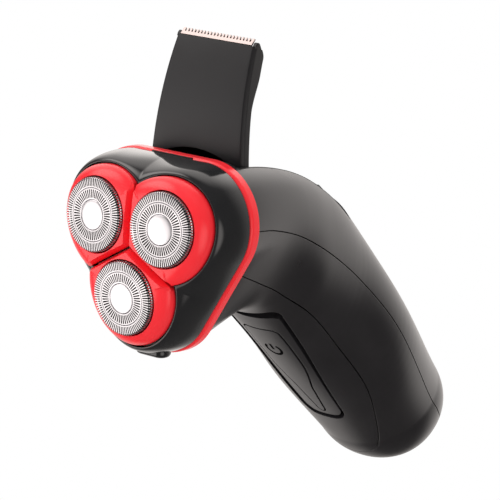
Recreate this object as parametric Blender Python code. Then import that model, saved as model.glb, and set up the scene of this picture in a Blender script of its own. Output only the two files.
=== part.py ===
"""Three-headed rotary shaver with a pop-up trimmer, built as separate pieces.

Lengths are in millimetres and are turned into metres when a mesh is made.
Shapes are drawn in the head's own axes: x across, y up the shaving face and
z straight out of it.  One empty turns those axes so the grip stands upright.
"""
import bpy
import bmesh
import numpy as np
from math import acos, atan2, cos, pi, radians, sin, sqrt
from mathutils import Matrix, Vector
from mathutils.geometry import tessellate_polygon

for leftover in list(bpy.data.objects):
    bpy.data.objects.remove(leftover, do_unlink=True)

# ---------------------------------------------------------------- overall sizes
METRES = 0.001
GAP = 0.3                   # clearance between neighbouring pieces
GRIP_SLANT = 43.0           # degrees between the grip and the head's own axis

# shaving units
UNIT_RADIUS = 14.7          # head axis to the middle of each shaving unit
UNIT_TILT = 4.0             # degrees each unit leans outward
UNIT_ANGLES = {"left": 150.0, "right": 30.0, "bottom": 270.0}
CUTTER_RADIUS = 10.75
CUTTER_TOP = 1.0            # crown of the cutter above the unit's datum
CUTTER_WALL = 0.7
FRAME_FRONT = -7.6
FRAME_THICKNESS = 1.4
CUTTER_SKIRT = 4.4          # how far the cutter cup reaches down
BADGE_RADIUS = 4.3
FLOAT_TRAVEL = 0.8          # how far a unit can be pressed in
PETAL_RADIUS = 14.8
PETAL_TOP = -0.6
PETAL_DROP = 4.6            # fall of the petal's rounded outer edge
PETAL_SKIRT = 5.4
GROOVE_HALF = 1.15          # half the width of the Y-shaped groove
NOTCH_FILL = 1.5            # how far the cap's opening is filled in between petals

# head cap, ring and hinge
CAP_LOBE = 15.0             # head axis to the middle of each rounded corner
CAP_CORNER = 17.5
CAP_BACK = -17.3
CAP_RIM = -6.0
CAP_WALL = 1.6
RING_CORNER = 18.0
RING_FRONT = -17.6
RING_DEPTH = 3.4
RING_WIDTH = 2.7
HINGE_HEIGHT = CAP_LOBE / 2 + CAP_CORNER
HINGE_BACK = -17.75
HINGE_PIN_RADIUS = 0.55
HINGE_HALF_LENGTH = 7.5
HINGE_SLOT_HALF = 7.9
HINGE_SLOT_DEPTH = 1.1
RELEASE_HALF_WIDTH = 5.5
RELEASE_FRONT = -11.5

# gearbox
GEAR_TEETH = 30
PINION_TEETH = 12
GEAR_MODULE = 0.7
GEAR_THICKNESS = 3.0
GEAR_FRONT = -14.3
SHAFT_RADIUS = 1.5
SHAFT_TOP = -3.5
GEARBOX_CORNER = 14.8
GEARBOX_TAPER = 2.5         # the gearbox narrows this much at its back
GEARBOX_BACK = -24.6
GEARBOX_FLOOR = 1.8
GEARBOX_WALL = 1.3
COVER_FRONT = -11.5
COVER_THICKNESS = 1.4
SCREW_RADIUS = 17.0         # head axis to the cover screws
MOTOR_RADIUS = 9.8
MOTOR_LENGTH = 26.0

# handle, as lines in the middle plane (height up the face, distance out of it)
SHELL_WALL = 1.9
NECK_CORNER = 17.0
NECK_FRONT = -21.3
WAIST = (11.0, -27.0)       # from the lower edge of the neck to the bend under the head
WAIST_ROUNDING = 12.0
WAIST_SHARE = 0.21
FRONT_SLANT = 41.3          # degrees the front face drops away from the head axis
FRONT_LENGTH = 83.7
BACK_BULGE = (28.1, -82.5)
BACK_TURN = (9.6, -81.0)
END_DEPTH = 39.2
END_SLANT = 45.8
END_REACH = 20.5
END_SHARE = 0.20
HALF_WIDTHS = (25.3, 22.9, 25.7, 21.2)     # down the grip, after the neck
SQUARENESS = 2.1
END_FLAT = 1.2              # how much of the rounded end is cut flat
BACK_SEAM = ((7.6, -18), (5.9, -33), (0.4, -52), (-11.9, -76), (-25.7, -93.3),
             (-45, -110.2), (-63, -128.6), (-70.5, -139), (-73, -150))
FRONT_SEAM = ((-5, -18), (-12, -38), (-17.2, -50.9), (-27.8, -68.3), (-46, -88),
              (-64, -104.2), (-73.5, -112.3), (-79, -115.3), (-88, -117))

# button and its recess, measured down the front face from the waist
RECESS_START = 6.5
RECESS_LENGTH = 62.0
RECESS_TOP_HALF = 12.6
RECESS_END_HALF = 8.4
RECESS_TOP_CORNER = 3.0
RECESS_END_CORNER = 5.0
RECESS_DEPTH = 5.2          # floor of the button's well under the front line
SURROUND_SINK = 1.3         # surround plate under the skin of the grip
SURROUND_FLOOR = 1.6
RAMP_DEPTH = 3.3            # step down from the skin at the recess's upper end
RAMP_SLANT = 5.0            # degrees the plate rises down the grip
BUTTON_START = 18.0
BUTTON_LENGTH = 47.5
BUTTON_CORNER = 2.6
BUTTON_HALVES = ((0.0, 6.5), (9.0, 6.5), (15.5, 6.3), (21.6, 5.9), (26.8, 4.8), (32.3, 3.2),
                 (36.7, 2.5), (44.5, 1.3))      # (distance down the button, half width)
BUTTON_GROOVE = 0.45
BUTTON_TRAVEL = 0.8
BUTTON_SINK = 0.9
STEM_DISTANCE = 8.5         # button's upper end to its stem
STEM_RADIUS = 2.2

# pop-up trimmer
POCKET_START = 0.025
POCKET_END = 0.462
POCKET_DEPTH = 10.5         # under the line along which the folded trimmer lies
SEAT_BULGE = (19.0, -100.0)
SEAT_TURN = (8.0, -76.0)
SEAT_END_DEPTH = 37.2
POCKET_WALL = 1.0
POCKET_FLOOR = 1.2
SWITCH_SHARES = (0.39, 0.44)                # trimmer switch along the grip
SWITCH_HALVES = (9.0, 8.6)
SWITCH_RISE = -1.2          # under the skin at its sides
SWITCH_SEAT = 0.25          # above the pocket's floor
POCKET_SIDE_GAP = 0.6       # beside the folded trimmer at its hinge
POCKET_TAPER_GAP = 0.3      # the pocket narrows past the trimmer's tip
TRIMMER_ROOT_HALF = 17.6
TRIMMER_TIP_HALF = 14.9
TRIMMER_ROOT = (21.6, -28.1)
TRIMMER_BEND = (40.5, -27.7)
TRIMMER_TIP = (57.2, -33.8)
TRIMMER_THIN = 3.4
TRIMMER_THICK = 5.2
TRIMMER_SKIN = 1.1
TRIMMER_ARCH = 0.12         # how far the foot of the housing's front arches up
TRIMMER_WALL = 1.3          # side walls of the housing
GUARD_OUTLINE = ((0.5, -1.5), (0.5, 0.5), (0.9, 1.3), (1.5, 1.5), (4.4, -0.6), (4.4, -1.5))
PIVOT = (19.2, -30.6)
PIVOT_PIN_RADIUS = 1.3
PIVOT_BARREL_RADIUS = 2.2
BLADE_HALF = 13.35
BLADE_HEIGHT = 2.5
BLADE_THICKNESS = 0.5
BLADE_SLANT = 40.0
BLADE_TEETH = 22

# parts inside the grip
BOARD_START = 20.0
BOARD_LENGTH = 52.0
BOARD_HALF = 8.5
BOARD_TOP = -9.0
BOARD_THICKNESS = 1.2
SWITCH_RADIUS = 2.0
SWITCH_GAP = 1.0            # power switch to the button's stem, more than the button's travel
BATTERY_START = 22.0
BATTERY_RADIUS = 7.0
BATTERY_LENGTH = 49.0
CONTACT_RADIUS = 5.0
CONTACT_HOLE = 2.0
CONTACT_THICKNESS = 0.6
CONTACT_GAP = 0.2
CHASSIS_START = 18.0
CHASSIS_END = 78.0
CHASSIS_THICKNESS = 1.6
CHASSIS_GAP = 0.15          # more room beside the chassis plate than GAP
SOCKET_RADIUS = 5.4
SOCKET_LENGTH = 9.0
SOCKET_SLOT = (4.5, 1.6, 4.4, 6.0)          # half width, low side, high side, depth

# how finely curved skins are stepped
ROWS = 19
COLUMNS = 28
BASE_STEPS = 36


# ---------------------------------------------------------------- materials
def make_material(name, colour, roughness, metallic=0.0):
    material = bpy.data.materials.new(name)
    material.use_nodes = True
    shader = material.node_tree.nodes["Principled BSDF"]
    shader.inputs["Base Color"].default_value = (*colour, 1.0)
    shader.inputs["Roughness"].default_value = roughness
    shader.inputs["Metallic"].default_value = metallic
    return material


MATERIALS = {
    "black_shell": make_material("black_shell", (0.022, 0.021, 0.024), 0.32),
    "gloss_black": make_material("gloss_black", (0.012, 0.012, 0.014), 0.12),
    "matte_black": make_material("matte_black", (0.025, 0.025, 0.028), 0.55),
    "red_trim": make_material("red_trim", (0.85, 0.02, 0.035), 0.3),
    "dark_plastic": make_material("dark_plastic", (0.06, 0.04, 0.035), 0.5),
    "foil_steel": make_material("foil_steel", (0.72, 0.71, 0.72), 0.28, 1.0),
    "badge_aluminium": make_material("badge_aluminium", (0.9, 0.9, 0.9), 0.35, 1.0),
    "tool_steel": make_material("tool_steel", (0.6, 0.6, 0.62), 0.3, 1.0),
    "gear_nylon": make_material("gear_nylon", (0.85, 0.84, 0.8), 0.5),
    "motor_steel": make_material("motor_steel", (0.55, 0.55, 0.57), 0.35, 1.0),
    "brass": make_material("brass", (0.75, 0.55, 0.25), 0.3, 1.0),
    "cell_wrap": make_material("cell_wrap", (0.05, 0.2, 0.12), 0.45),
    "board_green": make_material("board_green", (0.02, 0.18, 0.06), 0.5),
    "frame_grey": make_material("frame_grey", (0.2, 0.2, 0.21), 0.55),
}


# ---------------------------------------------------------------- placing pieces
def add_empty(name, location, parent=None):
    empty = bpy.data.objects.new(name, None)
    empty.location = location
    empty.parent = parent
    bpy.context.collection.objects.link(empty)
    return empty


def mesh_from(name, points, faces):
    mesh = bpy.data.meshes.new(name)
    mesh.from_pydata([tuple(p) for p in points], [], faces)
    tidy = bmesh.new()
    tidy.from_mesh(mesh)
    bmesh.ops.recalc_face_normals(tidy, faces=tidy.faces)
    tidy.to_mesh(mesh)
    tidy.free()
    return mesh


def add_piece(name, solid, material, origin=(0, 0, 0), parent=None):
    """Turn a (points, faces) solid in millimetres into a named object."""
    points, faces = solid
    shifted = (np.array(points, float) - np.array(origin, float)) * METRES
    piece = bpy.data.objects.new(name, mesh_from(name, shifted, faces))
    piece.location = Vector(origin) * METRES
    piece.parent = parent or head_axes
    piece.data.materials.append(MATERIALS[material])
    bpy.context.collection.objects.link(piece)
    return piece


def smooth(piece, angle=32.0):
    piece.data.shade_smooth()
    piece.data.set_sharp_from_angle(angle=radians(angle))


def boolean(piece, solid, operation, name):
    """Cut a piece with, or join to it, a (points, faces) solid."""
    tool = add_piece(name, solid, "frame_grey")
    tool.hide_render = True
    tool.display_type = "WIRE"
    bpy.context.view_layer.update()
    step = piece.modifiers.new(name, "BOOLEAN")
    step.operation = operation
    step.solver = "EXACT"
    step.object = tool
    graph = bpy.context.evaluated_depsgraph_get()
    shaped = bpy.data.meshes.new_from_object(piece.evaluated_get(graph))
    piece.modifiers.clear()
    old = piece.data
    piece.data = shaped
    bpy.data.meshes.remove(old)
    bpy.data.objects.remove(tool, do_unlink=True)
    shaped.name = piece.name
    return piece


# ---------------------------------------------------------------- solid builders
def stitch(rows, closed_rows=False):
    """Join equal-length loops of points into a closed body."""
    count = len(rows[0])
    points = [p for row in rows for p in row]
    faces = []
    last = len(rows) if closed_rows else len(rows) - 1
    for i in range(last):
        here = i * count
        there = ((i + 1) % len(rows)) * count
        for j in range(count):
            k = (j + 1) % count
            faces.append((here + j, here + k, there + k, there + j))
    if not closed_rows:
        faces.append(tuple(range(count))[::-1])
        faces.append(tuple((len(rows) - 1) * count + j for j in range(count)))
    return points, faces


def turned(profile, segments, phase=0.0):
    """Spin a closed (radius, height) outline; radius 0 closes on the axis."""
    points, faces, rings = [], [], []
    for radius, height in profile:
        if radius == 0:
            rings.append([len(points)] * segments)
            points.append((0, 0, height))
            continue
        rings.append(list(range(len(points), len(points) + segments)))
        for k in range(segments):
            turn = 2 * pi * k / segments + phase
            points.append((radius * cos(turn), radius * sin(turn), height))
    for i in range(len(rings)):
        a, b = rings[i], rings[(i + 1) % len(rings)]
        for j in range(segments):
            k = (j + 1) % segments
            corners = []
            for index in (a[j], a[k], b[k], b[j]):
                if index not in corners:
                    corners.append(index)
            if len(corners) > 2:
                faces.append(tuple(corners))
    return points, faces


def plate(outline, low, high, holes=()):
    """A flat plate between two heights with straight-sided holes."""
    loops = [list(outline)] + [list(hole) for hole in holes]
    flat = [Vector((p[0], p[1], 0)) for loop in loops for p in loop]
    triangles = tessellate_polygon([[Vector((p[0], p[1], 0)) for p in loop] for loop in loops])
    total = len(flat)
    points = [(p.x, p.y, low) for p in flat] + [(p.x, p.y, high) for p in flat]
    faces = [tuple(t) for t in triangles]
    faces += [tuple(index + total for index in t)[::-1] for t in triangles]
    start = 0
    for loop in loops:
        for j in range(len(loop)):
            k = (j + 1) % len(loop)
            faces.append((start + j, start + k, start + k + total, start + j + total))
        start += len(loop)
    return points, faces


def box(half, low, high, back, front):
    return stitch([[(-half, low, back), (half, low, back), (half, high, back), (-half, high, back)],
                   [(-half, low, front), (half, low, front), (half, high, front), (-half, high, front)]])


def placed(solid, matrix):
    points, faces = solid
    return [tuple(matrix @ Vector(p)) for p in points], faces


def along_axis(start, direction):
    """Matrix that stands a +z solid on a start point along a direction."""
    return Matrix.Translation(start) @ Vector(direction).to_track_quat("Z", "Y").to_matrix().to_4x4()


def circle(radius, count, centre=(0, 0)):
    return [(centre[0] + radius * cos(2 * pi * k / count),
             centre[1] + radius * sin(2 * pi * k / count)) for k in range(count)]


def rod(radius, length, segments=20):
    return turned([(0, 0), (radius, 0), (radius, length), (0, length)], segments)


def tube(outer, inner, length, segments=24):
    return turned([(inner, 0), (outer, 0), (outer, length), (inner, length)], segments)


def corner_radius(turn, lobe, corner):
    """Radius of three tangent-joined circles; turn is measured from up."""
    third = 2 * pi / 3
    offset = abs(turn % third - third / 2)
    reach = atan2(corner * sin(pi / 3), lobe + corner * cos(pi / 3))
    if offset < reach:
        return lobe * cos(offset) + sqrt(corner ** 2 - (lobe * sin(offset)) ** 2)
    return (lobe / 2 + corner) / cos(pi / 3 - offset)


def petal_outline(turn, grow=0.0):
    """Radius of the three petals together, with filled notches."""
    third = 2 * pi / 3
    offset = abs(turn % third - third / 2)
    radius = PETAL_RADIUS + grow
    reach = UNIT_RADIUS * cos(offset) + sqrt(radius ** 2 - (UNIT_RADIUS * sin(offset)) ** 2)
    return reach + NOTCH_FILL * (offset / (pi / 3)) ** 8


def polar(turn, radius, depth):
    """Point at an angle measured clockwise from up, seen from the front."""
    return (radius * sin(turn), radius * cos(turn), depth)


def ring_body(rows_at, steps):
    """Closed hoop: rows_at(turn) gives the cross-section loop at each angle."""
    rows = []
    for k in range(steps):
        turn = 2 * pi * k / steps
        rows.append([polar(turn, radius, depth) for radius, depth in rows_at(turn)])
    return stitch(rows, closed_rows=True)


def gear_outline(teeth, bore, backlash=0.12):
    pitch = GEAR_MODULE * teeth / 2
    tip = pitch + GEAR_MODULE * 0.9
    root = pitch - GEAR_MODULE * 1.15
    outline = []
    step = 2 * pi / teeth
    for k in range(teeth):
        for share, radius in ((-0.36, root), (-0.14, tip), (0.14, tip), (0.36, root)):
            squeeze = share * (1 - backlash)
            outline.append((radius * cos((k + squeeze) * step), radius * sin((k + squeeze) * step)))
    return outline, [circle(bore, 14)]


# ---------------------------------------------------------------- handle surface
def spline(controls, steps):
    """Smooth open curve through a few control points."""
    pts = [np.array(p, float) for p in controls]
    pts = [2 * pts[0] - pts[1]] + pts + [2 * pts[-1] - pts[-2]]
    curve = []
    for i in range(1, len(pts) - 2):
        for k in range(steps):
            s = k / steps
            curve.append(0.5 * (2 * pts[i] + (pts[i + 1] - pts[i - 1]) * s
                         + (2 * pts[i - 1] - 5 * pts[i] + 4 * pts[i + 1] - pts[i + 2]) * s ** 2
                         + (3 * pts[i] - pts[i - 1] - 3 * pts[i + 1] + pts[i + 2]) * s ** 3))
    curve.append(pts[-2])
    return np.array(curve)


def even_line(line):
    """Distance-based lookup for a polyline."""
    steps = np.r_[0, np.cumsum(np.linalg.norm(np.diff(line, axis=0), axis=1))]
    return steps / steps[-1]


def bezier(points, count):
    p = [np.array(q, float) for q in points]
    s = np.linspace(0, 1, count)[:, None]
    return (1 - s) ** 3 * p[0] + 3 * (1 - s) ** 2 * s * p[1] + 3 * (1 - s) * s * s * p[2] + s ** 3 * p[3]


front_down = np.array([-sin(radians(FRONT_SLANT)), -cos(radians(FRONT_SLANT))])
front_out = np.array([-cos(radians(FRONT_SLANT)), sin(radians(FRONT_SLANT))])
neck_top = np.array([CAP_LOBE / 2 + NECK_CORNER, NECK_FRONT])
neck_bottom = np.array([-CAP_LOBE - NECK_CORNER, NECK_FRONT])
waist = neck_bottom + WAIST
front_end = waist + front_down * FRONT_LENGTH
end_across = np.array([cos(radians(END_SLANT)), -sin(radians(END_SLANT))])
end_along = np.array([-sin(radians(END_SLANT)), -cos(radians(END_SLANT))])
back_end = front_end + END_DEPTH * end_across
back_curve = bezier([neck_top, BACK_BULGE, BACK_TURN, back_end], 200)
seat_curve = bezier([neck_top, SEAT_BULGE, SEAT_TURN, front_end + SEAT_END_DEPTH * end_across], 200)
neck_along = (waist - neck_bottom) / np.linalg.norm(waist - neck_bottom)
bend = np.linspace(0, 1, 25)[:, None]
under_curve = np.vstack([[neck_bottom],
                         (1 - bend) ** 2 * (waist - neck_along * WAIST_ROUNDING)
                         + 2 * bend * (1 - bend) * waist
                         + bend ** 2 * (waist + front_down * WAIST_ROUNDING),
                         [front_end]])
back_share = even_line(back_curve)
seat_share = even_line(seat_curve)
under_share = even_line(under_curve)
half_widths = (CAP_LOBE * sin(pi / 3) + NECK_CORNER, *HALF_WIDTHS)
width_share = even_line(np.array([(k, 0) for k in range(len(half_widths) * 10 - 9)], float))
width_curve = spline([(k, w) for k, w in enumerate(half_widths)], 10)[:, 1]


def lookup(curve, shares, share):
    return np.stack([np.interp(share, shares, curve[:, k]) for k in range(2)], -1)


def handle_lines(share):
    """Back point, under point and half width at a share of the grip's length."""
    under = np.interp(share, [0, WAIST_SHARE, 1], [0, under_share[13], 1])
    return (lookup(back_curve, back_share, share), lookup(under_curve, under_share, under),
            np.interp(share, width_share, width_curve))


def handle_surface(along, turn):
    """Outer skin.  along: 1 at the neck to 0 at the tip; turn: 0 at the back."""
    share = np.clip((1 - along) / (1 - END_SHARE), 0, 1)
    rounding = np.clip(1 - along / END_SHARE, 0, 1) * pi / 2
    shrink = np.maximum(np.cos(rounding), 0) ** (2 / 2.2)
    reach = np.sin(rounding) ** (2 / 2.2) * END_REACH
    back, under, width = handle_lines(share)
    blend = np.clip(share / 0.35, 0, 1)
    blend = blend * blend * (3 - 2 * blend)
    corner = np.vectorize(corner_radius)(turn, CAP_LOBE, NECK_CORNER)
    neck_across = corner * np.sin(turn) / (CAP_LOBE * sin(pi / 3) + NECK_CORNER)
    neck_up = (corner * np.cos(turn) + CAP_LOBE + NECK_CORNER) / (1.5 * CAP_LOBE + 2 * NECK_CORNER)
    oval_across = np.sign(np.sin(turn)) * np.abs(np.sin(turn)) ** (2 / SQUARENESS)
    oval_up = (1 + np.sign(np.cos(turn)) * np.abs(np.cos(turn)) ** (2 / SQUARENESS)) / 2
    up = (1 - blend) * neck_up + blend * oval_up
    across = width * ((1 - blend) * neck_across + blend * oval_across)
    middle = (back + under) / 2
    spot = middle + ((up - 0.5) * shrink)[..., None] * (back - under) + reach[..., None] * end_along
    return np.stack([across * shrink, spot[..., 0], spot[..., 1]], -1)


def skin_normal(along, turn):
    step = 0.004
    a = (handle_surface(np.clip(along + step, 0, 1), turn)
         - handle_surface(np.clip(along - step, 0, 1), turn))
    b = handle_surface(along, turn + step) - handle_surface(along, turn - step)
    normal = np.cross(a, b)
    return normal / np.linalg.norm(normal, axis=-1)[..., None]


def handle_solid(inset, rows, columns, open_neck=0.0):
    """The whole grip as one closed body, its skin moved inward by inset."""
    shares = np.concatenate([np.linspace(1, END_SHARE, rows, endpoint=False),
                             np.linspace(END_SHARE, 0.012, rows // 3)])
    turns = np.linspace(0, 2 * pi, columns, endpoint=False) + pi / columns
    along, turn = np.meshgrid(shares, turns, indexing="ij")
    skin = handle_surface(along, turn)
    if inset:
        skin = skin + skin_normal(np.clip(along, 0.03, 0.985), turn) * inset * NORMAL_SIDE
    loops = [list(map(tuple, row)) for row in skin]
    if open_neck:
        loops.insert(0, [(x, y, z + open_neck) for x, y, z in loops[0]])
    points, faces = stitch(loops)
    faces.pop()
    tip = len(points)
    middle = handle_surface(np.array([0.0]), np.array([0.0]))[0]
    lift = np.array([0, *(-end_along)]) * inset
    points = points + [tuple(middle + lift)]
    base = (len(loops) - 1) * columns
    faces += [(base + j, base + (j + 1) % columns, tip) for j in range(columns)]
    return points, faces


probe = skin_normal(np.array([0.5]), np.array([pi / 2]))[0]
NORMAL_SIDE = -1.0 if probe[0] > 0 else 1.0


def shifted_line(controls, offset):
    line = spline(controls, 5)
    tangent = np.gradient(line, axis=0)
    tangent /= np.linalg.norm(tangent, axis=1)[:, None]
    return line + np.stack([-tangent[:, 1], tangent[:, 0]], -1) * offset


def side_prism(outline, half_width):
    """Extrude an outline drawn in the middle plane equally to both sides."""
    stand = Matrix(((0, 0, 1, 0), (1, 0, 0, 0), (0, 1, 0, 0), (0, 0, 0, 1)))
    return placed(plate([tuple(p) for p in outline], -half_width, half_width), stand)


def front_frame(distance, height=0.0):
    """Axes on the front face: x across, y down the grip, z outward."""
    spot = waist + front_down * distance + front_out * height
    return Matrix(((-1, 0, 0, 0), (0, front_down[0], front_out[0], spot[0]),
                   (0, front_down[1], front_out[1], spot[1]), (0, 0, 0, 1)))


# ---------------------------------------------------------------- scene axes
tip_spot = handle_surface(np.array([0.0]), np.array([0.0]))[0][1:]
seat = tip_spot - end_along * END_FLAT
slant = radians(GRIP_SLANT)
head_axes = add_empty("head_axes", (0, 0, 0))
head_axes.rotation_euler = (slant, 0, 0)
head_axes.location = (0,
                      -(seat[0] * cos(slant) - seat[1] * sin(slant)) * METRES,
                      (-(seat[0] * sin(slant) + seat[1] * cos(slant))) * METRES)
grip_down = np.array([-sin(slant), -cos(slant)])



# ---------------------------------------------------------------- grip shells
def pocket_block(start, end, half_start, half_end, rise, depth, stations=9):
    """Block that follows the back of the grip; rise is above the skin at its sides."""
    rows = []
    for share in np.linspace(start, end, stations):
        back, under, width = handle_lines(share)
        up = (back - under) / np.linalg.norm(back - under)
        half = half_start + (half_end - half_start) * (share - start) / (end - start)
        turns = np.linspace(0, pi / 2, 60)
        along = np.full_like(turns, 1 - share * (1 - END_SHARE))
        skin = handle_surface(along, turns)
        height = np.interp(half, skin[:, 0], (skin[:, 1:] - back) @ up)
        top = back + up * (height + rise)
        low = lookup(seat_curve, seat_share, share) - up * depth
        rows.append([(-half, *top), (half, *top), (half, *low), (-half, *low)])
    return stitch(rows)


def pocket_half(extra):
    return (TRIMMER_ROOT_HALF + POCKET_SIDE_GAP + extra, TRIMMER_TIP_HALF - POCKET_TAPER_GAP + extra)


back_edge = [tuple(p) for p in shifted_line(BACK_SEAM, GAP / 2)]
side_edge_back = [tuple(p) for p in shifted_line(BACK_SEAM, -GAP / 2)]
side_edge_front = [tuple(p) for p in shifted_line(FRONT_SEAM, GAP / 2)]
front_edge = [tuple(p) for p in shifted_line(FRONT_SEAM, -GAP / 2)]
back_region = back_edge + [(-60, -175), (80, -175), (80, -10)]
middle_region = side_edge_back + [(-90, -175), (-130, -150)] + side_edge_front[::-1]
front_region = front_edge + [(-130, -100), (-100, -10)]
end_plane = along_axis((0, *seat), (0, *grip_down))


def shell(name, region, material):
    piece = add_piece(name, handle_solid(0.0, ROWS, COLUMNS), material)
    boolean(piece, handle_solid(SHELL_WALL, ROWS, COLUMNS, open_neck=4.0), "DIFFERENCE", "hollow")
    boolean(piece, side_prism(region, 45), "INTERSECT", "region")
    return piece


rear_shell = shell("rear_shell", back_region, "black_shell")
half_start, half_end = pocket_half(POCKET_WALL + GAP)
boolean(rear_shell, pocket_block(POCKET_START - 0.004, POCKET_END + 0.004, half_start, half_end, 8, 12),
        "DIFFERENCE", "pocket")
boolean(rear_shell, placed(rod(30, 12, 24), end_plane), "DIFFERENCE", "flat_end")
smooth(rear_shell)

side_shell = shell("side_shell", middle_region, "black_shell")
boolean(side_shell, placed(rod(30, 12, 24), end_plane), "DIFFERENCE", "flat_end")
socket_room = rod(SOCKET_RADIUS + GAP / 2, 20, 28)
boolean(side_shell, placed(socket_room, end_plane @ Matrix.Translation((0, 0, -10))),
        "DIFFERENCE", "socket_hole")
smooth(side_shell)

half_start, half_end = pocket_half(POCKET_WALL)
trimmer_bay = add_piece("trimmer_bay", pocket_block(POCKET_START, POCKET_END, half_start, half_end,
                                                    0, POCKET_DEPTH), "matte_black")
half_start, half_end = pocket_half(0)
boolean(trimmer_bay, pocket_block(POCKET_START + 0.008, POCKET_END - 0.008, half_start, half_end,
                                  8, POCKET_DEPTH - POCKET_FLOOR), "DIFFERENCE", "bay_room")
smooth(trimmer_bay)


def shield_outline(inset, corner_steps=5):
    """Edge of the recess: wide at the top, narrower and rounded at its end."""
    top, low = RECESS_TOP_HALF - inset, RECESS_END_HALF - inset
    upper, lower = RECESS_TOP_CORNER - inset, RECESS_END_CORNER - inset
    end = RECESS_LENGTH - inset
    turns = [pi / 2 * k / corner_steps for k in range(corner_steps + 1)]
    right = [(top - upper + upper * sin(t), inset + upper - upper * cos(t)) for t in turns]
    right += [(low - lower + lower * cos(t), end - lower + lower * sin(t)) for t in turns]
    return right + [(-x, y) for x, y in right[::-1]]


def button_outline(grow, stations=18):
    """Teardrop of the button, its edge moved outward by grow."""
    along = np.linspace(BUTTON_CORNER, BUTTON_HALVES[-1][0], stations)
    halves = spline(BUTTON_HALVES, 8)
    right = []
    for k in range(5):
        turn = pi / 2 * k / 4
        right.append((BUTTON_HALVES[0][1] - BUTTON_CORNER + (BUTTON_CORNER + grow) * sin(turn),
                      BUTTON_CORNER - (BUTTON_CORNER + grow) * cos(turn)))
    right += [(np.interp(y, halves[:, 0], halves[:, 1]) + grow, y) for y in along[1:]]
    right.append((BUTTON_HALVES[-1][1] * 0.6, BUTTON_LENGTH - 0.4 + grow))
    return right + [(-x, y) for x, y in right[::-1]]


front_panel = shell("front_panel", front_region, "black_shell")
boolean(front_panel, placed(plate(shield_outline(0.0), -12, 20), front_frame(RECESS_START)),
        "DIFFERENCE", "recess_hole")
smooth(front_panel)

surround_low = -RECESS_DEPTH - SURROUND_FLOOR
stem_start = BUTTON_START + STEM_DISTANCE
surround = add_piece("button_surround",
                     placed(plate(shield_outline(GAP), surround_low, 8), front_frame(RECESS_START)),
                     "matte_black")
boolean(surround, handle_solid(SURROUND_SINK, ROWS, COLUMNS), "INTERSECT", "skin")
ramp = front_frame(RECESS_START, -RAMP_DEPTH) @ Matrix.Rotation(radians(RAMP_SLANT), 4, "X")
boolean(surround, placed(box(20, -10, 40, 0, 12), ramp), "DIFFERENCE", "ramp")
button_room = plate(button_outline(BUTTON_GROOVE), -RECESS_DEPTH, 20)
boolean(surround, placed(button_room, front_frame(BUTTON_START)),
        "DIFFERENCE", "well")
boolean(surround, placed(rod(STEM_RADIUS + GAP, 12, 20), front_frame(stem_start, -RECESS_DEPTH - 6)),
        "DIFFERENCE", "stem_hole")
smooth(surround)

button_low = -RECESS_DEPTH + BUTTON_TRAVEL + 0.6
stem_low = -RECESS_DEPTH - 0.8
power_button = add_piece("power_button",
                         placed(plate(button_outline(0.0), button_low, 8), front_frame(BUTTON_START)),
                         "gloss_black", origin=tuple(front_frame(stem_start).translation))
boolean(power_button, handle_solid(BUTTON_SINK, ROWS, COLUMNS), "INTERSECT", "button_skin")
stem = rod(STEM_RADIUS, button_low - stem_low + 0.3, 20)
boolean(power_button, placed(stem, front_frame(stem_start, stem_low)),
        "UNION", "stem")
smooth(power_button)

# ---------------------------------------------------------------- parts inside the grip
board_low = BOARD_TOP - BOARD_THICKNESS
battery_height = board_low - GAP - BATTERY_RADIUS
chassis_high = battery_height - BATTERY_RADIUS - GAP
board_outline = [(-BOARD_HALF, 0), (BOARD_HALF, 0), (BOARD_HALF, BOARD_LENGTH), (-BOARD_HALF, BOARD_LENGTH)]
add_piece("circuit_board", placed(plate(board_outline, board_low, BOARD_TOP), front_frame(BOARD_START)),
          "board_green")
switch_low = BOARD_TOP + CONTACT_GAP
add_piece("power_switch", placed(rod(SWITCH_RADIUS, stem_low - SWITCH_GAP - switch_low, 16),
                                 front_frame(stem_start, switch_low)), "tool_steel")


def along_grip(distance, height):
    """Axes with z down the grip, at a depth under the front face."""
    return front_frame(distance, height) @ Matrix.Rotation(-pi / 2, 4, "X")


smooth(add_piece("battery", placed(rod(BATTERY_RADIUS, BATTERY_LENGTH, 28),
                                   along_grip(BATTERY_START, battery_height)), "cell_wrap"))
contact = tube(CONTACT_RADIUS, CONTACT_HOLE, CONTACT_THICKNESS, 20)
contact_starts = {"front": BATTERY_START - CONTACT_GAP - CONTACT_THICKNESS,
                  "rear": BATTERY_START + BATTERY_LENGTH + CONTACT_GAP}
for end, start in contact_starts.items():
    smooth(add_piece("battery_contact_" + end, placed(contact, along_grip(start, battery_height)), "brass"))

skin_along, skin_turn = np.meshgrid(np.linspace(1, 0.02, 150), np.linspace(0, pi, 90), indexing="ij")
skin_points = handle_surface(skin_along, skin_turn).reshape(-1, 3)


def inner_half_width(spot):
    nearest = np.argmin(((skin_points[:, 1:] - spot) ** 2).sum(axis=1))
    return skin_points[nearest, 0] - SHELL_WALL - GAP


chassis_rows = []
for distance in np.linspace(CHASSIS_START, CHASSIS_END, 9):
    spot = waist + front_down * distance + front_out * chassis_high
    low_spot = spot - front_out * CHASSIS_THICKNESS
    half = min(inner_half_width(spot), inner_half_width(low_spot)) - CHASSIS_GAP
    chassis_rows.append([(-half, *spot), (half, *spot), (half, *low_spot), (-half, *low_spot)])
add_piece("inner_frame", stitch(chassis_rows), "frame_grey")

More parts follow.
